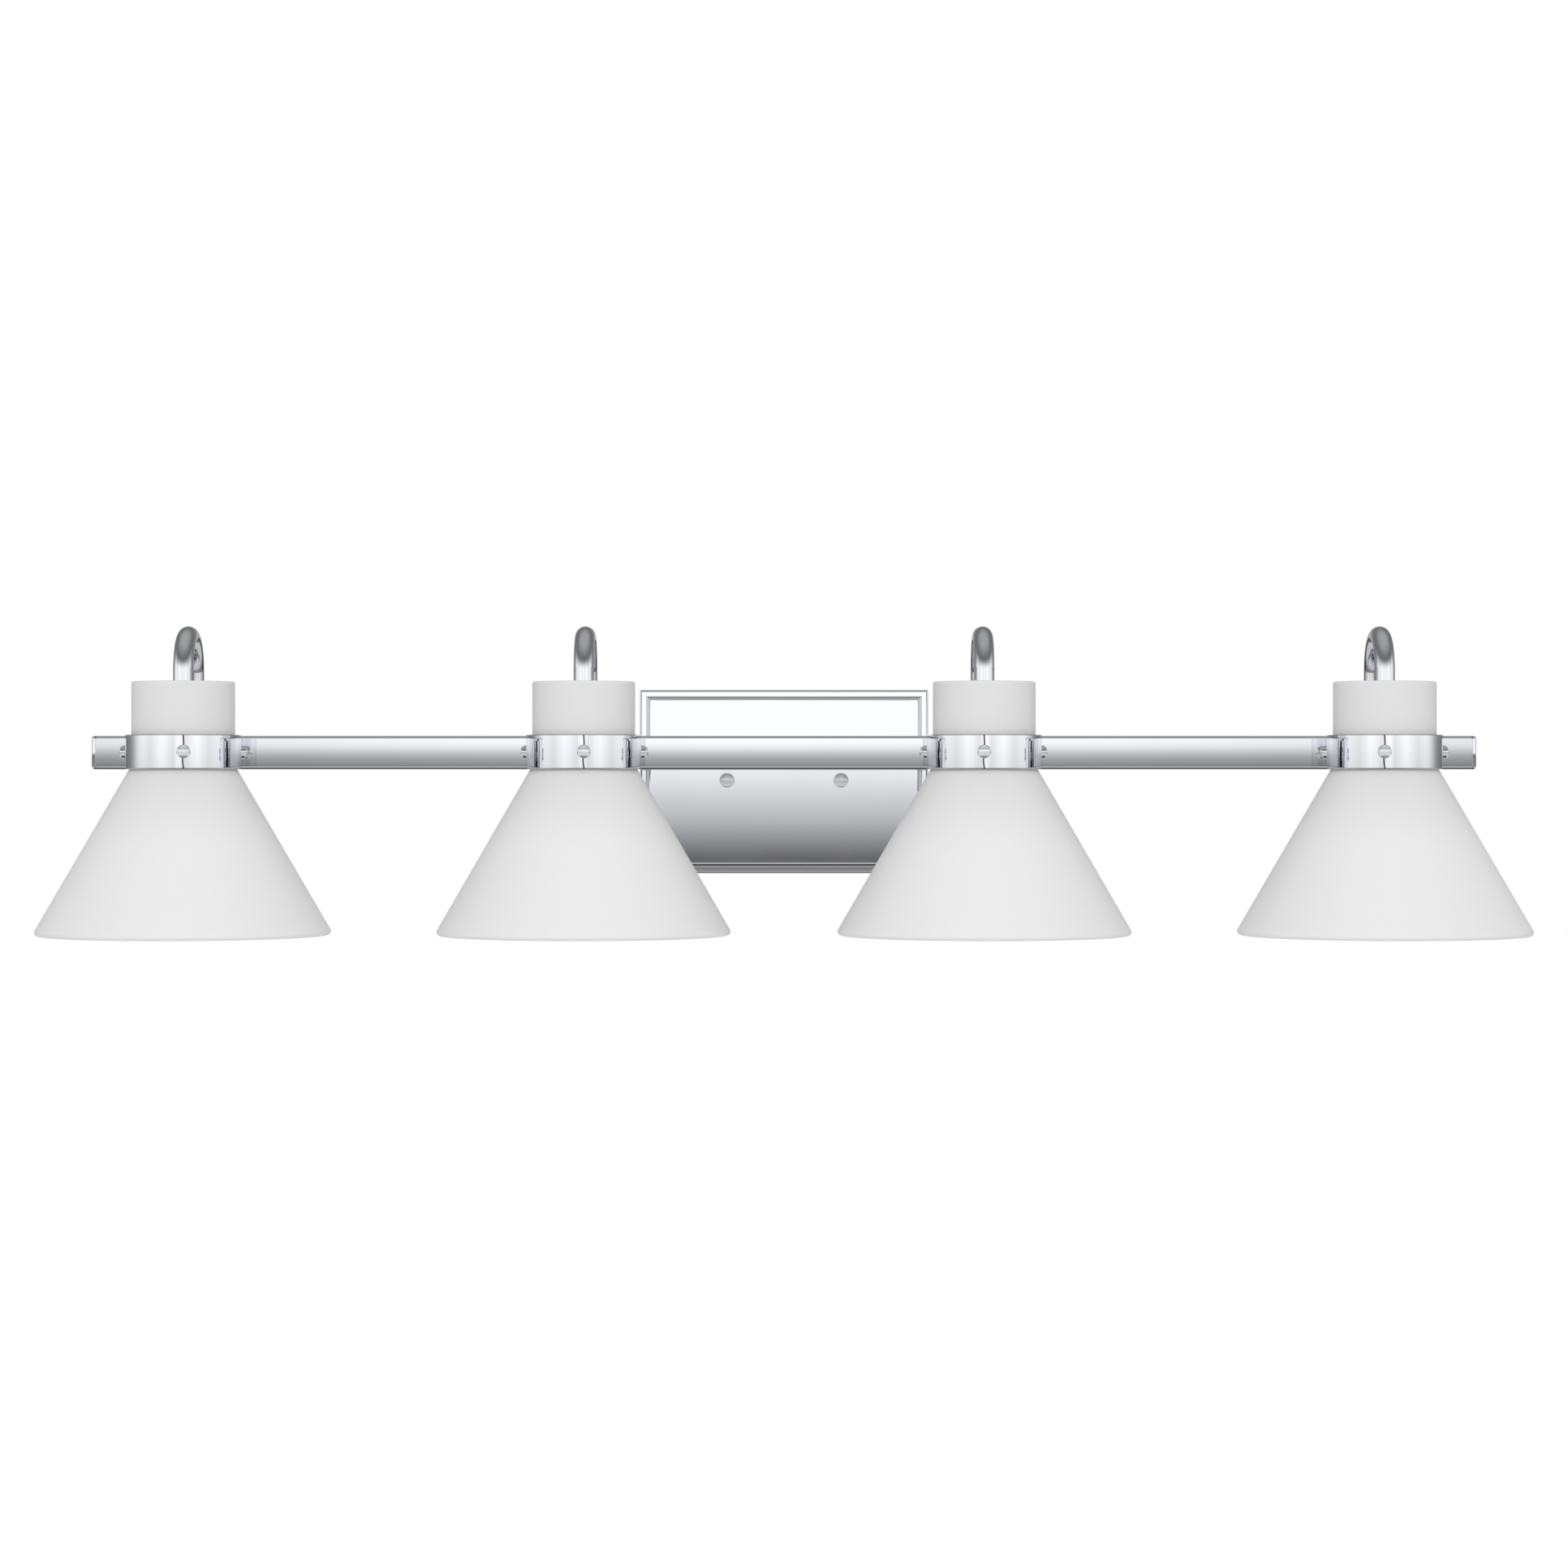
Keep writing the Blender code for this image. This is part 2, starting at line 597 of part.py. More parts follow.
def build_bar(lamp_places):
    bar = place("bar_tube", bar_mesh(), CHROME, location=(0, BAR_Y, BAR_RISE))
    shell_out(bar, BAR_WALL)
    leg_hole = cylinder("leg_hole", ARM_RADIUS + FIT_GAP, BAR_HEIGHT / 2, HOLE_SIDES)
    for lamp_x in lamp_places:
        cut(bar, leg_hole, (lamp_x, BAR_Y, BAR_RISE + BAR_HEIGHT / 2))
    spigot_hole = cylinder("spigot_hole", SPIGOT_RADIUS + FIT_GAP, BAR_DEPTH / 2, HOLE_SIDES)
    for side in (-1, 1):
        cut(bar, spigot_hole, (side * POST_SPACING / 2, BAR_BACK, BAR_RISE), (90, 0, 0))
    cap_x = (BAR_LENGTH - CAP_THICKNESS) / 2
    for side, word, turn in ((1, "right", 0), (-1, "left", 180)):
        cap_place = (side * cap_x, BAR_Y, BAR_RISE)
        place(f"bar_end_cap_{word}", end_cap_mesh(), CHROME, location=cap_place, rotation=(0, 0, turn))


def build_posts(canopy):
    """The two posts between bar and canopy, and the nuts that hold them inside the canopy."""
    hexagon = circle_outline((0, 0), NUT_FLATS / 2 / math.cos(math.pi / 6), 6)
    bore = circle_outline((0, 0), SPIGOT_RADIUS + FIT_GAP, HOLE_SIDES)
    nut_y = CANOPY_FRONT + CANOPY_WALL + FIT_GAP + NUT_THICKNESS / 2
    spigot_hole = cylinder("spigot_hole", SPIGOT_RADIUS + FIT_GAP, CANOPY_DEPTH / 2, HOLE_SIDES)
    for side, word in ((-1, "left"), (1, "right")):
        post_x = side * POST_SPACING / 2
        foot = (post_x, 0, BAR_RISE)
        turned(f"bar_post_{word}", post_profile(), HOLE_SIDES, CHROME, location=foot, rotation=(90, 0, 0))
        nut = flat_plate("post_nut", [hexagon, bore], NUT_THICKNESS)
        place(f"post_nut_{word}", nut, ZINC, location=(post_x, nut_y, BAR_RISE), rotation=(90, 0, 0))
        cut(canopy, spigot_hole, (post_x, CANOPY_FRONT, BAR_RISE), (90, 0, 0))


def build_crossbar():
    outlines = [rectangle_outline(CROSSBAR_LENGTH, CROSSBAR_WIDTH)]
    for side in (-1, 1):
        slot_centre = (side * BOX_SLOT_SPACING / 2, 0)
        outlines.append(slot_outline(slot_centre, BOX_SLOT_LENGTH, BOX_SLOT_WIDTH, SLOT_END_STEPS))
        stud_hole = (side * STUD_SPACING / 2, STUD_RISE)
        outlines.append(circle_outline(stud_hole, STUD_RADIUS + FIT_GAP, SMALL_HOLE_SIDES))
    outlines.append(circle_outline((GROUND_X, GROUND_Z), GROUND_SHANK_RADIUS + FIT_GAP, SMALL_HOLE_SIDES))
    plate = flat_plate("crossbar", outlines, CROSSBAR_THICKNESS)
    place("crossbar", plate, ZINC, location=(0, -CROSSBAR_THICKNESS / 2, 0), rotation=(90, 0, 0))
    foot = (GROUND_X, 0, GROUND_Z)
    profile = ground_screw_profile()
    turned("ground_screw", profile, SMALL_HOLE_SIDES, GREEN_ZINC, location=foot, rotation=(90, 0, 0))


def build_fixings(canopy):
    """Studs from the crossbar through the canopy, each with its finial."""
    stud_length = STUD_REACH - CANOPY_FRONT - FIT_GAP
    stud_y = -FIT_GAP - stud_length / 2
    stud_hole = cylinder("stud_hole", STUD_RADIUS + FIT_GAP, CANOPY_DEPTH / 2, SMALL_HOLE_SIDES)
    for side, word in ((-1, "left"), (1, "right")):
        stud_x = side * STUD_SPACING / 2
        stud = cylinder("canopy_stud", STUD_RADIUS, stud_length, SMALL_HOLE_SIDES)
        place(f"canopy_stud_{word}", stud, ZINC, location=(stud_x, stud_y, STUD_RISE), rotation=(90, 0, 0))
        cut(canopy, stud_hole, (stud_x, CANOPY_FRONT, STUD_RISE), (90, 0, 0))
        seat = (stud_x, CANOPY_FRONT, STUD_RISE)
        turned(f"finial_{word}", finial_profile(), BULB_STEPS, CHROME, location=seat, rotation=(90, 0, 0))


for leftover in list(bpy.data.objects):
    bpy.data.objects.remove(leftover)

PARTS = collection("vanity_light_bar")
CUTTERS = collection("cutters")

CHROME = finish("polished_chrome", (0.78, 0.79, 0.80), 1.0, 0.06)
OPAL_GLASS = finish("etched_opal_glass", (0.88, 0.88, 0.87), 0.0, 0.45)
PHENOLIC = finish("phenolic_socket", (0.05, 0.05, 0.05), 0.0, 0.4)
BRASS = finish("brass_shell", (0.72, 0.55, 0.25), 1.0, 0.3)
BULB_GLASS = finish("frosted_bulb_glass", (0.92, 0.91, 0.88), 0.0, 0.35)
ZINC = finish("zinc_plated_steel", (0.62, 0.63, 0.64), 1.0, 0.35)
GREEN_ZINC = finish("green_ground_screw", (0.10, 0.35, 0.16), 0.6, 0.4)
LEAD_JACKET = finish("lead_jacket", (0.82, 0.82, 0.80), 0.0, 0.5)

lamp_places = [(index - (LAMP_COUNT - 1) / 2) * LAMP_PITCH for index in range(LAMP_COUNT)]
for index, lamp_x in enumerate(lamp_places):
    build_lamp(index + 1, lamp_x)
build_bar(lamp_places)

canopy = place("canopy", canopy_mesh(), CHROME)
shell_out(canopy, CANOPY_WALL)
build_posts(canopy)
build_crossbar()
build_fixings(canopy)
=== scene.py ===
# %% [markdown]
# # A four-light vanity bar, from bare frame to studio picture
# This lesson dresses a finished engineering model of a bathroom wall light. Four cones of etched opal glass
# hang in chrome rings along a chrome bar, which stands off a stepped chrome canopy. The engineering model
# fixes every size. Here each of its parts gets a finer body and a true material.

# %% Load the engineering model
import json
import math

import bmesh
import bpy
from bmesh import ops
from mathutils import Matrix, Vector


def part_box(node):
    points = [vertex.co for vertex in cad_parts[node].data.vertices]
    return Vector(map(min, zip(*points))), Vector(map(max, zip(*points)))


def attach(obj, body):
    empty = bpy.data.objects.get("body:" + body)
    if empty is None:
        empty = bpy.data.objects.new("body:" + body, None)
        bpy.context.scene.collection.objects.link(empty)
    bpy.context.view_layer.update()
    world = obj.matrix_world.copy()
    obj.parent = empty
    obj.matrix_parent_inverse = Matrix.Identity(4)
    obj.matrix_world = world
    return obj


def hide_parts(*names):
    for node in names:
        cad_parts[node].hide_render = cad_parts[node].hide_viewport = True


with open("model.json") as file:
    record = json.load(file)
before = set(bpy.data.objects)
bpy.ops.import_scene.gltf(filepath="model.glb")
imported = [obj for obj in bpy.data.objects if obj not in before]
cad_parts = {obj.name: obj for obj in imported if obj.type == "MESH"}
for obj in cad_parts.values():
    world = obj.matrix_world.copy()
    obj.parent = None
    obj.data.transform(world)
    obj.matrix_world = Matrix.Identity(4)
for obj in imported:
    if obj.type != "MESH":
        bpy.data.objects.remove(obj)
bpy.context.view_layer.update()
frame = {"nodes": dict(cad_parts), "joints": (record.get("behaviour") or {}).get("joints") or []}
MM = 0.001
print("nodes in the frame:", len(frame["nodes"]))

# %% [markdown]
# ## Where things are
# A new piece goes where the engineering model has its own, so places come from the boxes of its nodes. The
# lamps hang on four axes, 1 to 4 from the left. Sizes that a box can't show, such as a wall's thickness, are
# named in millimetres of the real object.

# %% Read the shared places
LAMPS = (1, 2, 3, 4)


def middle(node):
    low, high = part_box(node)
    return (low + high) / 2


def half_size(node):
    low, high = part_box(node)
    return (high - low) / 2


NECK_RADIUS = 28.75 * MM
GLASS_WALL = 3.8 * MM
RING_PLAY = 1.5 * MM
FIT_GAP = 0.3 * MM
LAMP_AXES = {n: Vector((middle(f"shade_{n}").x, middle(f"shade_{n}").y, 0.0)) for n in LAMPS}
SHADE_LOW, SHADE_TOP = (corner.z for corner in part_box("shade_1"))
RIM_RADIUS = half_size("shade_1").x
RING_LOW, RING_TOP = (corner.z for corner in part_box("shade_ring_1"))
RING_OUTER = half_size("shade_ring_1").x
RING_INNER = NECK_RADIUS + RING_PLAY
for n, axis in LAMP_AXES.items():
    print(f"lamp {n} hangs at x {axis.x / MM:.2f} mm, y {axis.y / MM:.2f} mm")

# %% [markdown]
# ## Making a mesh
# Most pieces of a lamp are round, and a maker turns them. So is it here: a profile of radius and height is
# drawn as points, and `ops.spin` carries it round the axis. A flat that meets a rounded edge needs a
# point close to that edge, or the smooth shading would bend across the whole flat.

# %% Draw and turn profiles
HOLD = 0.1 * MM  # from a rounded edge to the point that keeps the flat beside it flat


def arc(centre, radius, start, stop, steps, rise=None):
    """Points on an arc, with angles in degrees; a rise makes it part of an ellipse of that height."""
    rise = radius if rise is None else rise
    points = []
    for step in range(steps + 1):
        angle = math.radians(start + (stop - start) * step / steps)
        points.append((centre[0] + radius * math.cos(angle), centre[1] + rise * math.sin(angle)))
    return points


def with_holds(profile, closed):
    """Adds a point near each end of every straight run that is long enough to need one."""
    held = []
    ends = profile[1:] + profile[:1] if closed else profile[1:]
    for start, stop in zip(profile, ends):
        held.append(start)
        run = math.dist(start, stop)
        if run > 6 * HOLD:
            for share in (HOLD / run, 1 - HOLD / run):
                held.append(tuple(a + (b - a) * share for a, b in zip(start, stop)))
    return held if closed else held + profile[-1:]


def turned(profile, steps):
    """Spins a profile of (radius, height) about Z. It closes on itself unless it ends on the axis."""
    closed = profile[0][0] > 0.0
    shape = bmesh.new()
    corners = [shape.verts.new((radius, 0.0, height)) for radius, height in with_holds(profile, closed)]
    loop = corners + corners[:1] if closed else corners
    edges = [shape.edges.new(pair) for pair in zip(loop, loop[1:])]
    ops.spin(
        shape, geom=corners + edges, cent=(0, 0, 0), axis=(0, 0, 1), dvec=(0, 0, 0), angle=math.tau,
        steps=steps, use_merge=True, use_duplicate=False)
    ops.remove_doubles(shape, verts=shape.verts[:], dist=0.001 * MM)
    ops.recalc_face_normals(shape, faces=shape.faces[:])
    return shape


print("a quarter turn in 6 steps has", len(arc((0, 0), MM, 90, 0, 6)), "points")

# %% [markdown]
# ## Finishing a piece
# A finished piece keeps its object at the origin, so that a pattern on Object coordinates stays put when the
# piece moves. One function names the body that it rides on, its material, and the node it stands for.
# A product studio screens the glass off from the polished canopy behind it, so the glass and what is inside
# it can be left out of the mirror picture.

# %% Turn a shape into a piece
SHARP_ANGLE = math.radians(35)
made_pieces = []


def finished(item, node, body):
    bpy.context.scene.collection.objects.link(item)
    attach(item, body)
    if node:
        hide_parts(node)
    made_pieces.append(item)


def piece(name, shape, material, node, body="fixture", mirrored=True):
    mesh = bpy.data.meshes.new(name)
    shape.to_mesh(mesh)
    shape.free()
    mesh.shade_smooth()
    mesh.set_sharp_from_angle(angle=SHARP_ANGLE)
    mesh.materials.append(material)
    item = bpy.data.objects.new(name, mesh)
    item.visible_glossy = mirrored
    finished(item, node, body)


print("edges sharper than", round(math.degrees(SHARP_ANGLE)), "degrees stay crisp")

# %% [markdown]
# ## Shaping tools
# These steps come back in many pieces: a shape is moved, a sheet gets its thickness, faces are cut along a
# plane, and a face is pushed out of its neighbours.

# %% Make the shaping tools


def unique(items):
    return list(dict.fromkeys(items))


def moved(shape, spot, turn=Matrix.Identity(4)):
    ops.transform(shape, matrix=Matrix.Translation(spot) @ turn, verts=shape.verts[:])
    return shape


def walled(shape, thickness):
    """Gives an open skin its wall, inwards, and closes it round the edges."""
    skin = bpy.data.meshes.new("skin")
    shape.to_mesh(skin)
    shape.free()
    holder = bpy.data.objects.new("skin", skin)
    bpy.context.scene.collection.objects.link(holder)
    wall = holder.modifiers.new("wall", "SOLIDIFY")
    wall.thickness = thickness
    wall.offset = -1.0
    wall.use_even_offset = True
    solid = bmesh.new()
    solid.from_object(holder, bpy.context.evaluated_depsgraph_get())
    bpy.data.objects.remove(holder)
    bpy.data.meshes.remove(skin)
    return solid


def sliced(shape, faces, spot, normal):
    """Cuts some faces of a shape along a plane."""
    edges = unique(edge for face in faces for edge in face.edges)
    verts = unique(vert for face in faces for vert in face.verts)
    ops.bisect_plane(shape, geom=verts + edges + faces, dist=1e-7, plane_co=spot, plane_no=normal)


def pushed(shape, face, travel):
    """Extrudes a face along a vector, and removes the one it leaves behind."""
    grown = ops.extrude_face_region(shape, geom=[face])["geom"]
    verts = [item for item in grown if isinstance(item, bmesh.types.BMVert)]
    ops.translate(shape, vec=travel, verts=verts)
    ops.delete(shape, geom=[face], context="FACES_ONLY")


def bevelled(shape, edges, radius, segments):
    ops.bevel(
        shape, geom=edges, affect="EDGES", offset=radius, segments=segments, profile=0.5, material=-1)


def box_shape(low, high):
    shape = bmesh.new()
    size = Matrix.Diagonal((*(high - low), 1.0))
    ops.create_cube(shape, size=1.0, matrix=Matrix.Translation((low + high) / 2) @ size)
    return shape


def held_flats(shape, smallest):
    """Insets every flat larger than the given area, so that it shades flat."""
    flats = [face for face in shape.faces if face.calc_area() > smallest]
    ops.inset_individual(shape, faces=flats, thickness=HOLD, use_even_offset=True)


print("the bar's box measures", [round(2 * side / MM, 1) for side in half_size("bar_tube")], "mm")

# %% [markdown]
# ## Materials
# Colours are written as the sRGB hex values that a colour picker shows, and one function makes them linear,
# as Cycles wants them. Another adds a node with its settings and links. Every finish has a soft cloud of
# colour and gloss, and most have a grain, as fine as the real one or as fine as still shows.

# %% Make the colour, node and pattern tools


def colour(code):
    channels = []
    for start in (1, 3, 5):
        value = int(code[start:start + 2], 16) / 255
        channels.append(value / 12.92 if value <= 0.04045 else ((value + 0.055) / 1.055) ** 2.4)
    return (*channels, 1.0)


def add_node(tree, kind, inputs, **settings):
    """Adds a node; a value in inputs is a number, a colour or the output of another node."""
    made = tree.nodes.new("ShaderNode" + kind)
    for name, value in settings.items():
        setattr(made, name, value)
    for socket, value in inputs.items():
        if isinstance(value, bpy.types.NodeSocket):
            tree.links.new(value, made.inputs[socket])
        else:
            made.inputs[socket].default_value = value
    return made


def new_material(name, **shader_values):
    """A material whose shader has the given uniform values; spaces in socket names are written _."""
    made = bpy.data.materials.new(name)
    made.use_nodes = True
    shader = made.node_tree.nodes["Principled BSDF"]
    for socket, value in shader_values.items():
        shader.inputs[socket.replace("_", " ")].default_value = value
    return made, made.node_tree, shader


def patterned(tree, shader, spot_size, tints, roughs):
    """Links a soft cloud of the given size in metres to the shader's colour and roughness."""
    where = add_node(tree, "TexCoord", {}).outputs["Object"]
    cloud = add_node(tree, "TexNoise", {"Vector": where, "Scale": 1.0 / spot_size, "Detail": 3.0})
    share = cloud.outputs["Fac"]
    shade = add_node(
        tree, "Mix", {0: share, 6: colour(tints[0]), 7: colour(tints[1])}, data_type="RGBA")
    span = {"From Min": 0.3, "From Max": 0.7, "To Min": roughs[0], "To Max": roughs[1]}
    rough = add_node(tree, "MapRange", {"Value": share, **span})
    tree.links.new(shade.outputs[2], shader.inputs["Base Color"])
    tree.links.new(rough.outputs["Result"], shader.inputs["Roughness"])
    return where


def roughened(tree, shader, where, grain, depth, stretch=(1.0, 1.0, 1.0)):
    """Links a bump of the given grain and depth in metres to the shader."""
    laid = add_node(tree, "Mapping", {"Vector": where, "Scale": stretch})
    grit = add_node(
        tree, "TexNoise", {"Vector": laid.outputs["Vector"], "Scale": 1.0 / grain, "Detail": 2.0})
    bump = add_node(
        tree, "Bump", {"Height": grit.outputs["Fac"], "Distance": depth, "Strength": 1.0})
    tree.links.new(bump.outputs["Normal"], shader.inputs["Normal"])


print("sRGB grey #808080 is", round(colour("#808080")[0], 3), "in linear light")

# %% [markdown]
# ### Polished chrome plate
# The bar, rings, arms and canopy are buffed, nickel plated and flashed with chrome, which mirrors almost
# without blur, a touch bluer than silver. The haze of the last buffing wheel lies in soft patches a few
# centimetres wide. The groove of a ring's joint is painted dark grey as painted shade inside the groove,
# and a point attribute, `painted_seam_shade`, marks it.

# %% Plate the polished pieces
chrome, tree, shader = new_material("polished_chrome_plate", Metallic=1.0)
patterned(tree, shader, 35 * MM, ("#E8E9ED", "#E5E6EB"), (0.012, 0.03))
plate = shader.inputs["Base Color"].links[0].from_socket
# Painted shade: the seam's groove gets a dark grey in place of the plate's colour.
painted_seam_shade = add_node(tree, "Attribute", {}, attribute_name="painted_seam_shade").outputs["Fac"]
seam_shade_mix = add_node(tree, "Mix", {0: painted_seam_shade, 6: plate, 7: colour("#4A4A4C")}, data_type="RGBA")
tree.links.new(seam_shade_mix.outputs[2], shader.inputs["Base Color"])
print("made", chrome.name)

# %% [markdown]
# ### Satin chrome plate
# The faces of screws and finials are only tumbled in a drum before plating, which gives a pearly look. The
# scratches are hundredths of a millimetre wide, so their grain is drawn at 0.25 mm. The screws' sides are
# buffed bright in the lathe, and an attribute, `buffed`, marks those.

# %% Plate the tumbled pieces
satin_chrome, tree, shader = new_material("satin_chrome_plate")
where = patterned(tree, shader, 5 * MM, ("#F7F7F8", "#F3F3F4"), (0.22, 0.28))
roughened(tree, shader, where, 0.25 * MM, 0.0004 * MM)
tumbled = shader.inputs["Roughness"].links[0].from_socket
buffed = add_node(tree, "Attribute", {}, attribute_name="buffed").outputs["Fac"]
for socket, at_face, at_side in (("Roughness", tumbled, 0.06), ("Metallic", 0.7, 1.0)):
    span = {"Value": buffed, "To Min": at_face, "To Max": at_side}
    tree.links.new(add_node(tree, "MapRange", span).outputs["Result"], shader.inputs[socket])
print("made", satin_chrome.name)

# %% [markdown]
# ### Acid-etched opal glass
# The shades are blown opal glass, milky right through, and dipped in acid, which leaves a satin skin with no
# clear highlight. Its grain, a hundredth of a millimetre, is drawn at 0.35 mm and very shallow. Light
# spreads a few millimetres inside the wall. Towards the neck the glass is painted greyer, as painted shade
# from the ring and bar above it.

# %% Make the opal glass
opal_glass, tree, shader = new_material(
    "etched_opal_glass", IOR=1.52, Subsurface_Weight=0.12, Subsurface_Radius=(1.0, 1.0, 1.0),
    Subsurface_Scale=3 * MM)
where = patterned(tree, shader, 60 * MM, ("#E3E3E3", "#E1E1E1"), (0.5, 0.6))
roughened(tree, shader, where, 0.35 * MM, 0.004 * MM)
unshaded_glass = shader.inputs["Base Color"].links[0].from_socket
# Painted shade: the colour turns greyer towards the neck, under the ring and bar.
height = add_node(tree, "SeparateXYZ", {"Vector": where}).outputs["Z"]
neck_shade_share = add_node(
    tree, "MapRange", {"Value": height, "From Min": -40 * MM, "From Max": 2 * MM},
    interpolation_type="SMOOTHSTEP").outputs["Result"]
painted_neck_shade = add_node(tree, "Mix", {0: neck_shade_share, 6: unshaded_glass, 7: colour("#D9D9D9")}, data_type="RGBA")
tree.links.new(painted_neck_shade.outputs[2], shader.inputs["Base Color"])
print("made", opal_glass.name)

# %% [markdown]
# ### The lamp's small parts
# The socket is black phenolic, glossy from its mould. Its shell is drawn brass, with lines along the draw.
# The bulb is frosted inside under a clear skin, its base is rolled aluminium, and black glass and a dab of
# solder close it.

# %% Make the phenolic, brass, bulb glass, aluminium and solder


def surfaced(name, spot_size, tints, roughs, grain=0, depth=0, stretch=(1.0, 1.0, 1.0), **shader_values):
    """A material with a cloud of colour and gloss and, unless it is as smooth as glass, a grain."""
    made, tree, shader = new_material(name, **shader_values)
    where = patterned(tree, shader, spot_size, tints, roughs)
    if grain:
        roughened(tree, shader, where, grain, depth, stretch)
    return made


DRAWN, ROLLED, STRANDED = (1.0, 1.0, 8.0), (1.0, 1.0, 6.0), (1.0, 1.0, 0.15)
phenolic = surfaced(
    "moulded_phenolic", 6 * MM, ("#17171A", "#1E1E20"), (0.28, 0.42), 0.5 * MM, 0.008 * MM, IOR=1.63)
brass = surfaced(
    "drawn_brass", 4 * MM, ("#D9B468", "#C79F55"), (0.22, 0.38), 1.2 * MM, 0.006 * MM, DRAWN, Metallic=1.0)
bulb_glass = surfaced(
    "frosted_bulb_glass", 25 * MM, ("#F2F1EC", "#EDECE6"), (0.38, 0.5), 0.3 * MM, 0.003 * MM, IOR=1.5,
    Coat_Weight=0.35, Coat_Roughness=0.12)
aluminium = surfaced(
    "rolled_aluminium", 5 * MM, ("#D8D9DB", "#C6C7CA"), (0.25, 0.4), 0.8 * MM, 0.005 * MM, ROLLED,
    Metallic=1.0)
black_glass = surfaced("black_insulator_glass", 3 * MM, ("#101114", "#18191C"), (0.1, 0.2), IOR=1.55)
solder = surfaced(
    "tin_solder", 1.5 * MM, ("#B9BABC", "#9EA0A3"), (0.25, 0.45), 0.9 * MM, 0.03 * MM, Metallic=1.0)
print("made", ", ".join(made.name for made in (phenolic, brass, bulb_glass, aluminium, black_glass, solder)))

# %% [markdown]
# ### Fixings and wires
# Crossbar, studs and nuts are steel with bright zinc plate, which dries in faint clouds. The earth screw's
# plate is dyed green. The wires are tinned copper strands in a soft jacket, one black and one white.

# %% Make the zinc plate, green zinc, wire jackets and copper
zinc_plate = surfaced(
    "bright_zinc_plate", 7 * MM, ("#C9CBD0", "#B4B8BF"), (0.22, 0.4), 0.7 * MM, 0.006 * MM, Metallic=1.0)
green_zinc = surfaced(
    "green_dyed_zinc", 3 * MM, ("#2E7A47", "#22643A"), (0.28, 0.4), 0.6 * MM, 0.006 * MM, Metallic=0.85)
jackets = {}
for word, *tints in (("black", "#1B1B1C", "#232324"), ("white", "#E4E3DE", "#D9D8D2")):
    jackets[word] = surfaced(
        f"{word}_wire_jacket", 8 * MM, tints, (0.35, 0.5), 0.4 * MM, 0.006 * MM, IOR=1.53)
copper = surfaced(
    "tinned_copper", 1 * MM, ("#C98B5E", "#D9A57C"), (0.25, 0.4), 0.25 * MM, 0.02 * MM, STRANDED,
    Metallic=1.0)
print("materials:", len(bpy.data.materials))

# %% [markdown]
# ## The glass shade
# A blower's mould gives the shade a straight neck and a cone with a rounded lip. The profile starts on the
# neck's top, runs down the outside, round the lip and up the inside. The cone's outer line clears the ring's
# lower edge and meets the lip's circle without a kink, as in the engineering model.

# %% Turn the shades
NECK_ROUND = 1.2 * MM
LIP_ROUND = 2.2 * MM
INNER_LIP_ROUND = 1.2 * MM
BEND_ROUND = 3.0 * MM  # where the neck's inside turns into the cone


def shade_profile():
    lip = (RIM_RADIUS - LIP_ROUND, SHADE_LOW + LIP_ROUND)
    out, down = lip[0] - RING_INNER, RING_LOW - lip[1]
    lean = math.atan2(out, down) + math.asin((LIP_ROUND + FIT_GAP) / math.hypot(out, down))
    degrees, half_tan = math.degrees(lean), math.tan(lean / 2)
    cone_start = RING_LOW + (RING_PLAY - FIT_GAP / math.cos(lean)) / math.tan(lean)
    outer = arc((NECK_RADIUS - NECK_ROUND, SHADE_TOP - NECK_ROUND), NECK_ROUND, 90, 0, 6)
    bend = (NECK_RADIUS + BEND_ROUND, cone_start + BEND_ROUND * half_tan)
    outer += arc(bend, BEND_ROUND, 180, 180 + degrees, 4)
    outer += arc(lip, LIP_ROUND, degrees, -90, 14)
    neck_inner = NECK_RADIUS - GLASS_WALL
    inner_start = cone_start - GLASS_WALL * half_tan
    rim_inner = neck_inner + (inner_start - SHADE_LOW) * math.tan(lean)
    edge = rim_inner - INNER_LIP_ROUND * math.tan(lean) + INNER_LIP_ROUND / math.cos(lean)
    inner = arc((edge, SHADE_LOW + INNER_LIP_ROUND), INNER_LIP_ROUND, -90, degrees - 180, 5)
    swell = BEND_ROUND + GLASS_WALL
    inner += arc((neck_inner + swell, inner_start + swell * half_tan), swell, 180 + degrees, 180, 6)
    inner += arc((neck_inner + NECK_ROUND, SHADE_TOP - NECK_ROUND), NECK_ROUND, 180, 90, 6)
    return outer + inner


for n, axis in LAMP_AXES.items():
    glass, node = moved(turned(shade_profile(), 160), axis), f"shade_{n}"
    piece(f"glass_{node}", glass, opal_glass, node, node, mirrored=False)
print("shade:", round(2 * RIM_RADIUS / MM, 1), "by", round((SHADE_TOP - SHADE_LOW) / MM, 1), "mm")

# %% [markdown]
# ## The screws' directions
# A joint of the engineering model says which way each thumbscrew backs out. A ring faces the spot its front
# screw points to, a little towards the middle of the bar.

# %% Read the screws' directions
SLIDES = {joint["name"]: Vector(joint["axis"]) for joint in frame["joints"]}


def screw_direction(n, side):
    out = SLIDES[f"thumbscrew_{n}_{side}_release"]
    return math.atan2(out.y, out.x)


def facing(n):
    """How far the ring of a lamp is turned from straight ahead."""
    return screw_direction(n, "front") + math.pi / 2


print("rings turned by", [round(math.degrees(facing(n)), 1) for n in LAMPS], "degrees")

# %% [markdown]
# ## The ring
# Each shade hangs in a ring of 2 mm strap, bent round until its ends meet at the front, brazed and plated.
# The joint stays as a fine, slightly wandering groove. The ring is turned whole, a few planes cut a narrow
# column of faces at the front, and the column's outer points are pressed in.

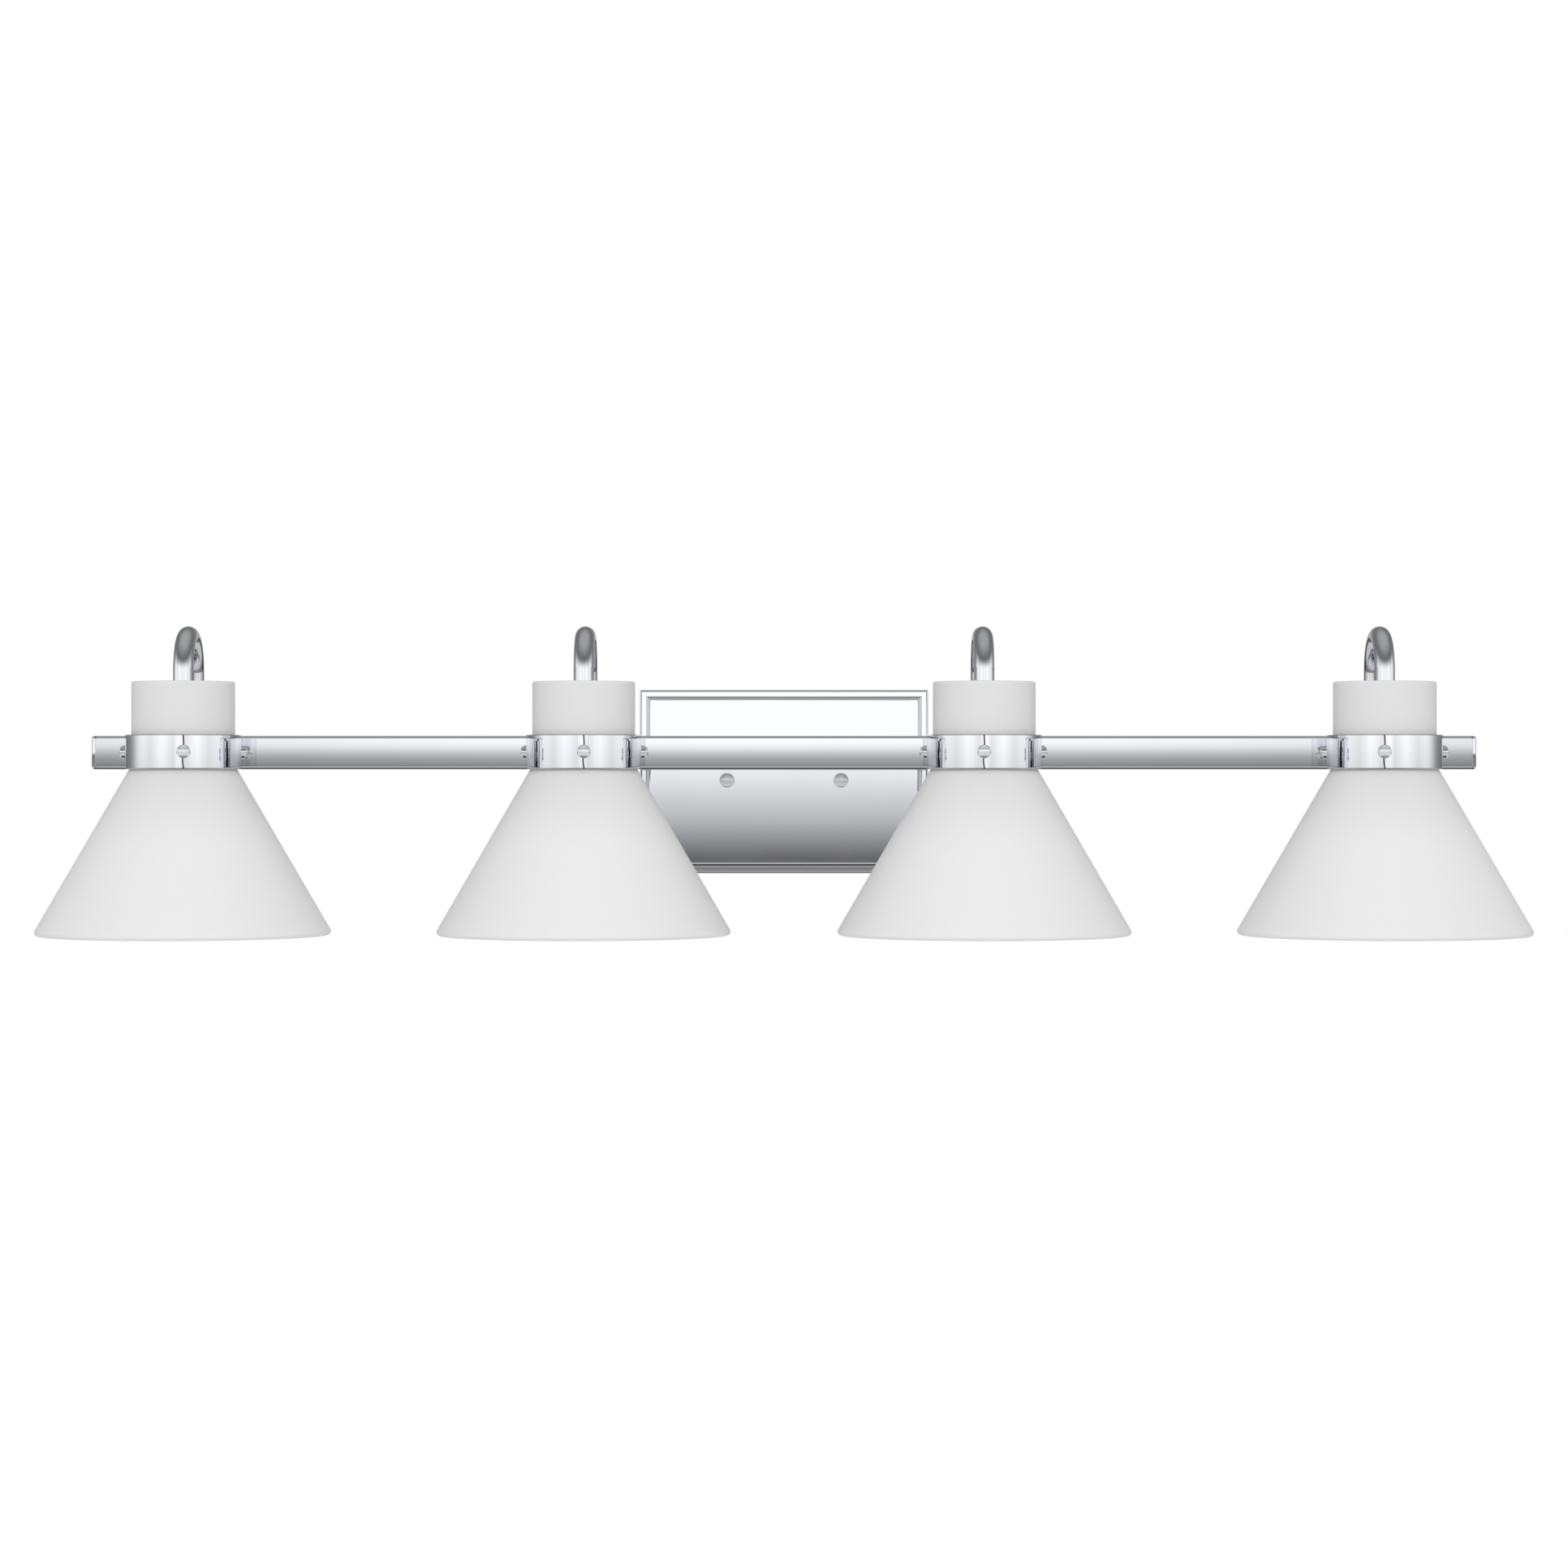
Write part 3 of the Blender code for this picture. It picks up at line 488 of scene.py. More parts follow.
# %% Turn the rings and press their seams
RING_ROUND = 0.45 * MM
SEAM_HALF = 0.3 * MM
SEAM_FLANK = 0.12 * MM
SEAM_DEPTH = 1.1 * MM
SEAM_WANDER = 0.3 * MM
SEAM_ROWS = 16


def ring_profile():
    outer, inner = RING_OUTER - RING_ROUND, RING_INNER + RING_ROUND
    top, low = RING_TOP - RING_ROUND, RING_LOW + RING_ROUND
    corners = ((outer, top, 90), (outer, low, 0), (inner, low, 270), (inner, top, 180))
    return [spot for x, z, start in corners for spot in arc((x, z), RING_ROUND, start, start - 90, 5)]


def press_seam(ring):
    """A groove down the front of a ring that is still on its own axis."""
    tall = RING_TOP - RING_LOW
    cuts = [((0, 0, RING_LOW + tall * row / SEAM_ROWS), (0, 0, 1), -RING_INNER * 0.9)
            for row in range(1, SEAM_ROWS)]
    cuts += [((x, 0, 0), (1, 0, 0), 0)
             for x in (-SEAM_HALF - SEAM_FLANK, -SEAM_HALF, SEAM_HALF, SEAM_HALF + SEAM_FLANK)]
    for spot, normal, nearest in cuts:
        sliced(ring, [face for face in ring.faces if face.calc_center_median().y < nearest], spot, normal)
    # painted shade: the groove's floor is marked to be painted dark grey
    spots = ring.verts.layers.float.new("painted_seam_shade")
    for vert in ring.verts:
        across = abs(vert.co.x)
        if across < SEAM_HALF + SEAM_FLANK + 1e-6 and vert.co.y < 0:
            outside = math.hypot(across, vert.co.y) > RING_INNER + SEAM_DEPTH
            share = (vert.co.z - (RING_LOW + RING_TOP) / 2) / tall
            vert.co.x += SEAM_WANDER * math.sin(7.0 * share) * (0.6 if share > 0 else 1.4)
            if across < SEAM_HALF + 1e-6:
                vert[spots] = 1.0
                vert.co.y += SEAM_DEPTH if outside else 0.0


for n, axis in LAMP_AXES.items():
    strap = turned(ring_profile(), 180)
    press_seam(strap)
    moved(strap, axis, Matrix.Rotation(facing(n), 4, "Z"))
    piece(f"strap_ring_{n}", strap, chrome, f"shade_ring_{n}")
print("ring:", round(2 * RING_OUTER / MM, 1), "by", round((RING_TOP - RING_LOW) / MM, 1), "mm")

# %% [markdown]
# ## Threads
# A thread is real geometry here. The rod's side is drawn with rows of points close together, and the rows
# are then moved in and out in step with the turn, fading at both ends.

# %% Make the thread tools


def rod_side(radius, top, bottom, pitch, per_turn=8):
    """Points down the side of a threaded rod, close enough together to carry its thread."""
    count = max(2, round((top - bottom) / pitch * per_turn))
    return [(radius, top + (bottom - top) * step / count) for step in range(count + 1)]


def cut_thread(shape, low, high, radius, pitch, depth):
    """Waves the surface near the given radius in a helix between two heights."""
    for vert in shape.verts:
        reach = math.hypot(vert.co.x, vert.co.y)
        if low < vert.co.z < high and abs(reach - radius) < depth / 4:
            turn = math.atan2(vert.co.y, vert.co.x) / math.tau
            phase = (vert.co.z / pitch - turn) % 1.0
            ends = min(1.0, (vert.co.z - low) / pitch, (high - vert.co.z) / pitch)
            pressed = depth * ends * (0.5 + 0.5 * math.cos(math.tau * phase))
            vert.co.x *= (reach - pressed) / reach
            vert.co.y *= (reach - pressed) / reach


SCREW_PITCH = 0.5 * MM  # M3
print("a 5 mm thread takes", len(rod_side(0, 5 * MM, 0, SCREW_PITCH)), "rows of points")

# %% [markdown]
# ## The thumbscrews
# Three screws at 120 degrees pass through the ring and press on the neck. Each is turned from brass rod: a
# round head with a domed end and a short thread, whose tip is rounded so that it doesn't chip the glass. It
# is turned upright and then laid down.

# %% Turn the thumbscrews
HEAD_RADIUS = 3.85 * MM
HEAD_LENGTH = 8.1 * MM
HEAD_DOME = 2.7 * MM
HEAD_EDGE = 0.25 * MM
SHANK_RADIUS = 1.5 * MM
TIP_RADIUS = 1.0 * MM
SEAT = RING_OUTER + FIT_GAP
TIP = NECK_RADIUS + FIT_GAP
SMALL_STEPS = 48


def dome(top, radius, rise, steps):
    """A domed end from the axis out."""
    return [(0.0, top)] + arc((0, top - rise), radius, 90, 0, steps, rise)[1:]


def thumbscrew():
    end = SEAT + HEAD_LENGTH
    neck = [(HEAD_RADIUS, SEAT + HEAD_EDGE), (HEAD_RADIUS - HEAD_EDGE, SEAT), (SHANK_RADIUS, SEAT)]
    side = rod_side(SHANK_RADIUS, SEAT - 0.1 * MM, TIP + 0.5 * MM, SCREW_PITCH)
    head = dome(end, HEAD_RADIUS, HEAD_DOME, 16)
    shape = turned(head + neck + side + [(TIP_RADIUS, TIP), (0.0, TIP)], SMALL_STEPS)
    cut_thread(shape, TIP + 0.4 * MM, SEAT - 0.1 * MM, SHANK_RADIUS, SCREW_PITCH, 0.25 * MM)
    spots = shape.verts.layers.float.new("buffed")
    for vert in shape.verts:
        vert[spots] = min(1.0, max(0.0, (end - 0.6 * HEAD_DOME - vert.co.z) / MM))
    return shape


for n, axis in LAMP_AXES.items():
    for side in ("front", "right", "left"):
        name = f"thumbscrew_{n}_{side}"
        turn = Matrix.Rotation(screw_direction(n, side), 4, "Z") @ Matrix.Rotation(math.pi / 2, 4, "Y")
        screw = moved(thumbscrew(), axis + Vector((0, 0, (RING_LOW + RING_TOP) / 2)), turn)
        piece(f"turned_{name}", screw, satin_chrome, name, name)
print("thumbscrews:", 3 * len(LAMPS))

# %% [markdown]
# ## The gooseneck arms
# An arm is 11.4 mm tube, drawn over a mandrel into a half circle. Its front leg carries the socket cup in
# the shade's neck, and its back leg stands in the bar. A circle of edges is extruded up the front leg, spun
# through the half turn and extruded down the back one.

# %% Bend the arms
ARM_WALL = 1.0 * MM
ARM_SIDES = 64
BEND_STEPS = 48
ARM_IN_CUP = 3.0 * MM


def edge_loop(verts):
    return unique(edge for vert in verts for edge in vert.link_edges)


def pulled(shape, loop, travel):
    """Extrudes an open loop of edges along a vector, and gives back the new loop."""
    grown = ops.extrude_edge_only(shape, edges=loop)["geom"]
    fresh = [item for item in grown if isinstance(item, bmesh.types.BMVert)]
    ops.translate(shape, vec=travel, verts=fresh)
    known = set(fresh)
    return [item for item in grown if isinstance(item, bmesh.types.BMEdge) and set(item.verts) <= known]


def gooseneck(n):
    low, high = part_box(f"arm_{n}")
    radius = half_size(f"arm_{n}").x
    front, back = low.y + radius, high.y - radius
    shoulder = high.z - radius - (back - front) / 2
    front_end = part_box(f"socket_cup_{n}")[1].z - ARM_IN_CUP
    shape = bmesh.new()
    foot = Matrix.Translation((middle(f"arm_{n}").x, front, front_end))
    ring = ops.create_circle(shape, cap_ends=False, segments=ARM_SIDES, radius=radius, matrix=foot)
    loop = pulled(shape, edge_loop(ring["verts"]), (0, 0, shoulder - front_end))
    verts = unique(vert for edge in loop for vert in edge.verts)
    spun = ops.spin(
        shape, geom=verts + loop, cent=(0, (front + back) / 2, shoulder), axis=(-1, 0, 0), dvec=(0, 0, 0),
        angle=math.pi, steps=BEND_STEPS, use_merge=False, use_duplicate=False)
    last = [item for item in spun["geom_last"] if isinstance(item, bmesh.types.BMEdge)]
    pulled(shape, last, (0, 0, low.z - shoulder))
    ends = [edge for edge in shape.edges if edge.is_boundary]
    caps = ops.holes_fill(shape, edges=ends, sides=0)["faces"]
    ops.recalc_face_normals(shape, faces=shape.faces[:])
    ops.delete(shape, geom=caps, context="FACES_ONLY")
    return walled(shape, ARM_WALL)


for n in LAMPS:
    piece(f"gooseneck_arm_{n}", gooseneck(n), chrome, f"arm_{n}")

# %% [markdown]
# ## The socket cup
# A cup hangs on the arm's end and hides the socket. It is spun from sheet, so it has a soft shoulder, one
# wall thickness all over and a rolled hem.

# %% Spin the cups
CUP_ROUND = 2.0 * MM
CUP_WALL = 1.0 * MM


def cup_profile(n):
    low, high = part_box(f"socket_cup_{n}")
    radius = half_size(f"socket_cup_{n}").x
    hole = half_size(f"arm_{n}").x + FIT_GAP
    shoulder = (radius - CUP_ROUND, high.z - CUP_ROUND)
    outer = arc(shoulder, CUP_ROUND, 90, 0, 8)
    hem = arc((radius - CUP_WALL / 2, low.z + CUP_WALL / 2), CUP_WALL / 2, 0, -180, 6)
    inner = arc(shoulder, CUP_ROUND - CUP_WALL, 0, 90, 5)
    return [(hole, high.z)] + outer + hem + inner + [(hole, high.z - CUP_WALL)]


for n, axis in LAMP_AXES.items():
    cup = moved(turned(cup_profile(n), 96), axis)
    piece(f"spun_cup_{n}", cup, chrome, f"socket_cup_{n}", mirrored=False)
print("cup:", round(2 * half_size("socket_cup_1").x / MM, 1), "mm across")

# %% [markdown]
# ## Socket and screw shell
# The socket is a phenolic tube with a solid top. Inside sits a brass shell with the wide, round thread of a
# medium screw base, and both sides of its wall follow the thread, as pressed sheet does.

# %% Mould the sockets and press their shells
BORE_RADIUS = 14.6 * MM
SOCKET_WEB = 12.7 * MM
LEAD_HOLE = 3.0 * MM
SOCKET_EDGE = 1.0 * MM
MOUTH_ROUND = 0.5 * MM
SHELL_RADIUS = 14.3 * MM
SHELL_WALL = 0.35 * MM
SHELL_HOLE = 5.4 * MM
BASE_PITCH = 3.63 * MM  # 7 turns to the inch


def socket_profile(n):
    low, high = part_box(f"socket_body_{n}")
    radius = half_size(f"socket_body_{n}").x
    mouth = low.z + MOUTH_ROUND
    outline = [(LEAD_HOLE, high.z), (radius - SOCKET_EDGE, high.z), (radius, high.z - SOCKET_EDGE)]
    outline += arc((radius - MOUTH_ROUND, mouth), MOUTH_ROUND, 0, -90, 4)
    outline += arc((BORE_RADIUS + MOUTH_ROUND, mouth), MOUTH_ROUND, 270, 180, 4)
    return outline + [(BORE_RADIUS, high.z - SOCKET_WEB), (LEAD_HOLE, high.z - SOCKET_WEB)]


def shell_shape(n):
    low, high = (corner.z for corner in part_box(f"socket_shell_{n}"))
    inside = SHELL_RADIUS - SHELL_WALL
    side = rod_side(SHELL_RADIUS, high - 1.0 * MM, low + 0.4 * MM, BASE_PITCH)
    back = [(SHELL_RADIUS, low), (inside, low)] + [(inside, height) for _, height in reversed(side)]
    top = [(inside, high - SHELL_WALL), (SHELL_HOLE, high - SHELL_WALL)]
    shape = turned([(SHELL_HOLE, high), (SHELL_RADIUS, high)] + side + back + top, 64)
    for radius in (SHELL_RADIUS, inside):
        cut_thread(shape, low + 0.3 * MM, high - 1.0 * MM, radius, BASE_PITCH, 0.5 * MM)
    return shape


for n, axis in LAMP_AXES.items():
    socket, shell = turned(socket_profile(n), 96), shell_shape(n)
    for name, node, shape, material, slot in (
            ("phenolic_socket", "socket_body", socket, phenolic, "phenolic"),
            ("screw_shell", "socket_shell", shell, brass, "brass")):
        piece(f"{name}_{n}", moved(shape, axis), material, f"{node}_{n}", mirrored=False)
print("socket: bore", round(2 * BORE_RADIUS / MM, 1), "mm")

# %% [markdown]
# ## The bulb
# The bulb is the small round kind, so that the shade's neck slips over it. Its glass is one smooth line: a
# globe and a neck that is tucked into the base. The neck follows a cubic that is upright at the base and
# meets the globe along its own slope.

# %% Blow the bulbs
BASE_RADIUS = 13.1 * MM
BASE_LENGTH = 25.0 * MM
SHOULDER = 4.4 * MM
BLEND_ANGLE = 36.0
NECK_STEPS = 12


def bulb_levels(n):
    low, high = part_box(f"bulb_{n}")
    return low.z, high.z - BASE_LENGTH, high.z


def globe_profile(n):
    radius = half_size(f"bulb_{n}").x
    bottom, base_end, _ = bulb_levels(n)
    globe = arc((0, bottom + radius), radius, BLEND_ANGLE, -90, 30)
    globe[-1] = (0.0, globe[-1][1])
    start_radius, start_z = globe[0]
    slope = math.tan(math.radians(BLEND_ANGLE)) * (base_end - start_z)
    neck_radius = BASE_RADIUS - 0.4 * MM
    neck = []
    for step in range(NECK_STEPS):
        share = step / NECK_STEPS
        rest = 1.0 - share
        reach = neck_radius * rest * rest * (1 + 2 * share) + start_radius * share * share * (1 + 2 * rest)
        neck.append((reach - slope * share * share * rest, base_end + (start_z - base_end) * share))
    return [(0.0, base_end + 3 * MM), (neck_radius, base_end + 3 * MM)] + neck + globe


def base_shape(n):
    _, base_end, top = bulb_levels(n)
    crown, edge = top - SHOULDER, BASE_RADIUS - 1.0 * MM
    cone = [(0.0, top - 1.5 * MM), (6.2 * MM, top - 1.5 * MM), (BASE_RADIUS - 0.8 * MM, crown)]
    side = rod_side(BASE_RADIUS, crown - 0.3 * MM, base_end + 1.6 * MM, BASE_PITCH)
    hem = [(BASE_RADIUS, base_end + 0.3 * MM), (BASE_RADIUS - 0.3 * MM, base_end), (edge, base_end)]
    shape = turned(cone + [(BASE_RADIUS, crown - 0.2 * MM)] + side + hem + [(0.0, base_end)], 64)
    cut_thread(shape, base_end + 1.5 * MM, crown - 0.2 * MM, BASE_RADIUS, BASE_PITCH, 0.75 * MM)
    return shape


def insulator_profile(top):
    face = top - 0.7 * MM
    return [(0.0, face), (4.6 * MM, face), (6.1 * MM, top - 1.5 * MM), (0.0, top - 1.7 * MM)]


for n, axis in LAMP_AXES.items():
    bulb, top = f"bulb_{n}", bulb_levels(n)[2]
    globe = turned(globe_profile(n), 96)
    insulator = turned(insulator_profile(top), SMALL_STEPS)
    contact = turned(dome(top, 3.4 * MM, 1.0 * MM, 8) + [(0.0, top - 1.0 * MM)], SMALL_STEPS)
    for part, shape, material, slot, node in (
            ("glass", globe, bulb_glass, "bulb_glass", bulb), ("base", base_shape(n), aluminium, "zinc", ""),
            ("insulator", insulator, black_glass, "phenolic", ""), ("contact", contact, solder, "zinc", "")):
        piece(f"bulb_{part}_{n}", moved(shape, axis), material, node, bulb, mirrored=False)
print("bulb:", round(2 * half_size("bulb_1").x / MM, 1), "mm across")

# %% [markdown]
# ## The bar
# The bar is steel tube, 16 by 19 mm, with small rounded corners. Rolled tube is never quite flat: the front
# leans by a few hundredths of a millimetre, and chrome shows that as a gradient from light to dark. The box
# is bevelled, its flats are held by an inset, and the front is cut into strips that are eased back by the
# sum of the lean above them.

# %% Roll the bar
BAR_EDGE = 1.6 * MM
BAR_WALL = 1.2 * MM
BAR_STRIPS = 20
LEAN_STEPS = 24
FACE_LEAN = ((-7.9 * MM, 0.0099), (-2.2 * MM, 0.0085), (5.9 * MM, 0.0))  # height from mid-bar, radians


def face_lean(height):
    """How far, in radians, the front leans at a height above the bar's centre line."""
    for (low, low_lean), (high, high_lean) in zip(FACE_LEAN, FACE_LEAN[1:]):
        if height < high:
            return low_lean + (high_lean - low_lean) * max(0.0, height - low) / (high - low)
    return 0.0


def bar_shape():
    low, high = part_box("bar_tube")
    shape = box_shape(low, high)
    ends = [face for face in shape.faces if abs(face.normal.x) > 0.9]
    ops.delete(shape, geom=ends, context="FACES_ONLY")
    bevelled(shape, [edge for edge in shape.edges if not edge.is_boundary], BAR_EDGE, 8)
    held_flats(shape, (high.x - low.x) * 5 * MM)
    half = (high.z - low.z) / 2 - BAR_EDGE
    for strip in range(1, BAR_STRIPS):
        height = (low.z + high.z) / 2 - half + 2 * half * strip / BAR_STRIPS
        sliced(shape, [face for face in shape.faces if face.normal.y < -0.99], (0, 0, height), (0, 0, 1))
    for vert in shape.verts:
        below = high.z - BAR_EDGE - vert.co.z
        depth = abs(vert.co.y - low.y)
        if below > 0 and depth < BAR_EDGE:
            leans = [face_lean(half - below * (step + 0.5) / LEAN_STEPS) for step in range(LEAN_STEPS)]
            vert.co.y += sum(leans) / LEAN_STEPS * min(below, 2 * half) * (1.0 - depth / BAR_EDGE)
    return walled(shape, BAR_WALL)


piece("bar_tube_rolled", bar_shape(), chrome, "bar_tube")
print("bar: leans by up to", max(round(math.degrees(lean), 2) for _, lean in FACE_LEAN), "degrees")

# %% [markdown]
# ## The bar's ends
# Each end is closed by a cast cap with the same corners, pressed in on a tongue, and the joint stays as a
# hairline. The cap is shaped with its outside towards +X, and the left one is then turned round.

# %% Cast the end caps
CAP_THICKNESS = 2.2 * MM
CAP_TONGUE = 6.0 * MM


def end_cap_shape(node, outward):
    low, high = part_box(node)
    size = half_size(node)
    half = Vector((CAP_THICKNESS / 2, size.y, size.z))
    shape = box_shape(-half, half)
    inside = [face for face in shape.faces if face.normal.x < -0.9][0]
    bevelled(shape, [edge for edge in shape.edges if inside not in edge.link_faces], BAR_EDGE, 6)
    inside = min(shape.faces, key=lambda face: face.calc_center_median().x)
    ops.inset_region(shape, faces=[inside], thickness=BAR_WALL + FIT_GAP, use_even_offset=True)
    pushed(shape, inside, (-CAP_TONGUE, 0, 0))
    held_flats(shape, 30 * MM * MM)
    end = high.x if outward > 0 else low.x
    spot = Vector((end - outward * CAP_THICKNESS / 2, middle(node).y, middle(node).z))
    return moved(shape, spot, Matrix.Rotation(0 if outward > 0 else math.pi, 4, "Z"))


for word, outward in (("left", -1), ("right", 1)):
    name = f"bar_end_cap_{word}"
    piece(f"cast_{name}", end_cap_shape(name, outward), chrome, name)
bar_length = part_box("bar_end_cap_right")[1].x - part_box("bar_end_cap_left")[0].x
print("bar:", round(bar_length / MM, 1), "mm over its caps")

# %% [markdown]
# ## The canopy
# The canopy is pressed from one sheet: a shallow pan with a flange and a raised panel. A cube becomes the
# pan: the wall side is removed, the front is inset and extruded into the panel, and three groups of edges
# are bevelled, each with its own radius.

# %% Press the canopy
FLANGE_WIDTH = 4.4 * MM
PANEL_STEP = 4.0 * MM
PANEL_ROUND = 1.9 * MM
FLANGE_ROUND = 1.3 * MM
FOLD_ROUND = 0.9 * MM
CANOPY_WALL = 1.0 * MM
TOUCH = 1e-6


def folds(shape, depth):
    """The edges at one depth where the sheet is folded."""
    return [edge for edge in shape.edges if all(abs(vert.co.y - depth) < TOUCH for vert in edge.verts)
            and len(edge.link_faces) == 2 and edge.calc_face_angle() > 0.5]


def canopy_shape():
    low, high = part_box("canopy")
    shape = box_shape(Vector((low.x, low.y + PANEL_STEP, low.z)), high)
    back = [face for face in shape.faces if face.normal.y > 0.9]
    ops.delete(shape, geom=back, context="FACES_ONLY")
    front = [face for face in shape.faces if face.normal.y < -0.9][0]
    ops.inset_region(shape, faces=[front], thickness=FLANGE_WIDTH, use_even_offset=True)
    pushed(shape, front, (0, -PANEL_STEP, 0))
    bevelled(shape, folds(shape, low.y), PANEL_ROUND, 8)
    flange = folds(shape, low.y + PANEL_STEP)
    panel_foot = [edge for edge in flange if max(abs(vert.co.x) for vert in edge.verts) < high.x - TOUCH
                  or max(abs(vert.co.z) for vert in edge.verts) < high.z - TOUCH]
    bevelled(shape, panel_foot, FOLD_ROUND, 4)
    bevelled(shape, folds(shape, low.y + PANEL_STEP), FLANGE_ROUND, 5)
    held_flats(shape, 60 * MM * MM)
    return walled(shape, CANOPY_WALL)


piece("pressed_canopy", canopy_shape(), chrome, "canopy")
print("canopy:", [round(2 * side / MM, 1) for side in half_size("canopy")], "mm")

# %% [markdown]
# ## Pieces that stand out from the wall
# Posts, nuts, studs, finials and the earth screw are made upright, with their heights counted as distances
# from the wall, and then laid forward.

# %% Lay a turned shape forward


def wall_reach(node):
    """How far from the wall a node starts and ends."""
    low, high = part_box(node)
    return -high.y, -low.y


def on_wall(shape, node):
    spot = (middle(node).x, 0, middle(node).z)
    return moved(shape, spot, Matrix.Rotation(math.radians(90), 4, "X"))


print("the canopy stands", round(wall_reach("canopy")[1] / MM, 1), "mm off the wall")

# %% [markdown]
# ## The posts
# Two hollow posts carry the bar. A threaded end passes through the canopy, where a nut holds it, and the
# lamps' wires run through its bore.

# %% Turn the posts
POST_BORE = 4.5 * MM
SPIGOT_RADIUS = 5.9 * MM
SPIGOT_EDGE = 0.4 * MM
SPIGOT_PITCH = 1.0 * MM
POST_ROUND = 0.4 * MM


def post_shape(node):
    near, far = wall_reach(node)
    side = half_size(node).x - POST_ROUND
    canopy_face = -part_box("canopy")[0].y + FIT_GAP
    bar_face = -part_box("bar_tube")[1].y - FIT_GAP
    outline = [(SPIGOT_RADIUS, far), (SPIGOT_RADIUS, bar_face)]
    outline += arc((side, bar_face - POST_ROUND), POST_ROUND, 90, 0, 4)
    outline += arc((side, canopy_face + POST_ROUND), POST_ROUND, 0, -90, 4)
    outline += rod_side(SPIGOT_RADIUS, canopy_face - 0.05 * MM, near + SPIGOT_EDGE, SPIGOT_PITCH)
    outline += [(SPIGOT_RADIUS - SPIGOT_EDGE, near), (POST_BORE, near), (POST_BORE, far)]
    shape = turned(outline, 72)
    cut_thread(shape, near + 0.3 * MM, canopy_face - 0.1 * MM, SPIGOT_RADIUS, SPIGOT_PITCH, 0.45 * MM)
    return on_wall(shape, node)


for word in ("left", "right"):
    node = f"bar_post_{word}"
    piece(f"turned_post_{word}", post_shape(node), chrome, node)
print("posts:", round(2 * middle("bar_post_right").x / MM, 1), "mm apart")

# %% [markdown]
# ## The nuts
# A hexagon nut is cut from bar, and its corners are turned off at both faces. Two circles of points are
# drawn out to a hexagon, their corners are drawn back, and all circles are bridged.

# %% Cut the nuts
NUT_FLATS = 16.0 * MM
CHAMFER = 0.12  # all shares are of the size across the flats
CORNER_DROP = 0.62
FACE_SHARE = 0.98


def hexagon_nut(flats, bore, low, high, sides=72):
    """A hexagon nut or, with a bore of 0, a solid hexagon head."""
    shape = bmesh.new()
    chamfer = CHAMFER * flats
    rings = ((low, flats / 2), (low + chamfer, flats / 2), (high - chamfer, flats / 2), (high, flats / 2),
             (high, max(bore, chamfer)), (low, max(bore, chamfer)))
    loops = []
    for index, (height, radius) in enumerate(rings):
        spot = Matrix.Translation((0, 0, height))
        verts = ops.create_circle(
            shape, cap_ends=False, segments=sides, radius=radius, matrix=spot)["verts"]
        for vert in verts if index < 4 else ():
            reach = 1 / math.cos(math.atan2(vert.co.y, vert.co.x) % (math.pi / 3) - math.pi / 6)
            outwards = reach if index in (1, 2) else FACE_SHARE
            vert.co.x *= outwards
            vert.co.y *= outwards
            if index in (1, 2):
                drop = CORNER_DROP * (reach - 1) * flats / 2
                vert.co.z += (0.9 * chamfer - drop) * (1 if height > low + chamfer else -1)
        loops.append(edge_loop(verts))
    for index, (first, second) in enumerate(zip(loops, loops[1:] + loops[:1])):
        if bore or index != 4:
            ops.bridge_loops(shape, edges=first + second)
    ops.holes_fill(shape, edges=[edge for edge in shape.edges if edge.is_boundary], sides=0)
    ops.recalc_face_normals(shape, faces=shape.faces[:])
    return shape


for word in ("left", "right"):
    node = f"post_nut_{word}"
    nut = hexagon_nut(NUT_FLATS, SPIGOT_RADIUS + FIT_GAP, *wall_reach(node))
    piece(f"hexagon_nut_{word}", on_wall(nut, node), zinc_plate, node)
print("nut:", round(NUT_FLATS / MM, 1), "mm across its flats")

# %% [markdown]
# ## Crossbar, studs and finials
# A stamped steel crossbar screws to the wall box. Two threaded studs stand on it, pass through the canopy,
# and take the round finials. The crossbar's own node has the right shape, so it only gets its plate.

# %% Turn the studs and finials, and plate the crossbar
STUD_PITCH = 0.7 * MM
STUD_EDGE = 0.35 * MM
FINIAL_DOME = 1.0 * MM
FINIAL_EDGE = 0.3 * MM
crossbar = frame["nodes"]["crossbar"]
crossbar.data.materials.clear()
crossbar.data.materials.append(zinc_plate)


def stud_shape(node):
    near, far = wall_reach(node)
    radius = half_size(node).x
    side = rod_side(radius, far - STUD_EDGE, near + 0.1 * MM, STUD_PITCH, per_turn=6)
    shape = turned([(0.0, far), (radius - STUD_EDGE, far)] + side + [(radius, near), (0.0, near)], 24)
    cut_thread(shape, near, far - 0.3 * MM, radius, STUD_PITCH, 0.38 * MM)
    return on_wall(shape, node)


def finial_shape(node, stud):
    near, far = wall_reach(node)
    radius = half_size(node).x
    bore = half_size(stud).x + FIT_GAP
    bore_end = wall_reach(stud)[1] + 0.6 * MM
    foot = arc((radius - FINIAL_EDGE, near + FINIAL_EDGE), FINIAL_EDGE, 0, -90, 3)
    face = dome(far, radius, FINIAL_DOME, 14)
    return on_wall(turned(face + foot + [(bore, near), (bore, bore_end), (0.0, bore_end)], 72), node)


for word in ("left", "right"):
    stud, finial = f"canopy_stud_{word}", f"finial_{word}"
    piece(f"threaded_stud_{word}", stud_shape(stud), zinc_plate, stud)
    piece(f"turned_{finial}", finial_shape(finial, stud), satin_chrome, finial, finial)
print("studs:", round((middle("finial_right").x - middle("finial_left").x) / MM, 1), "mm apart")

# %% [markdown]
# ## The earth screw
# The earth wire's screw sits on the crossbar. Its flange and shank are turned as one profile, and the
# hexagon head is then put into the same mesh.

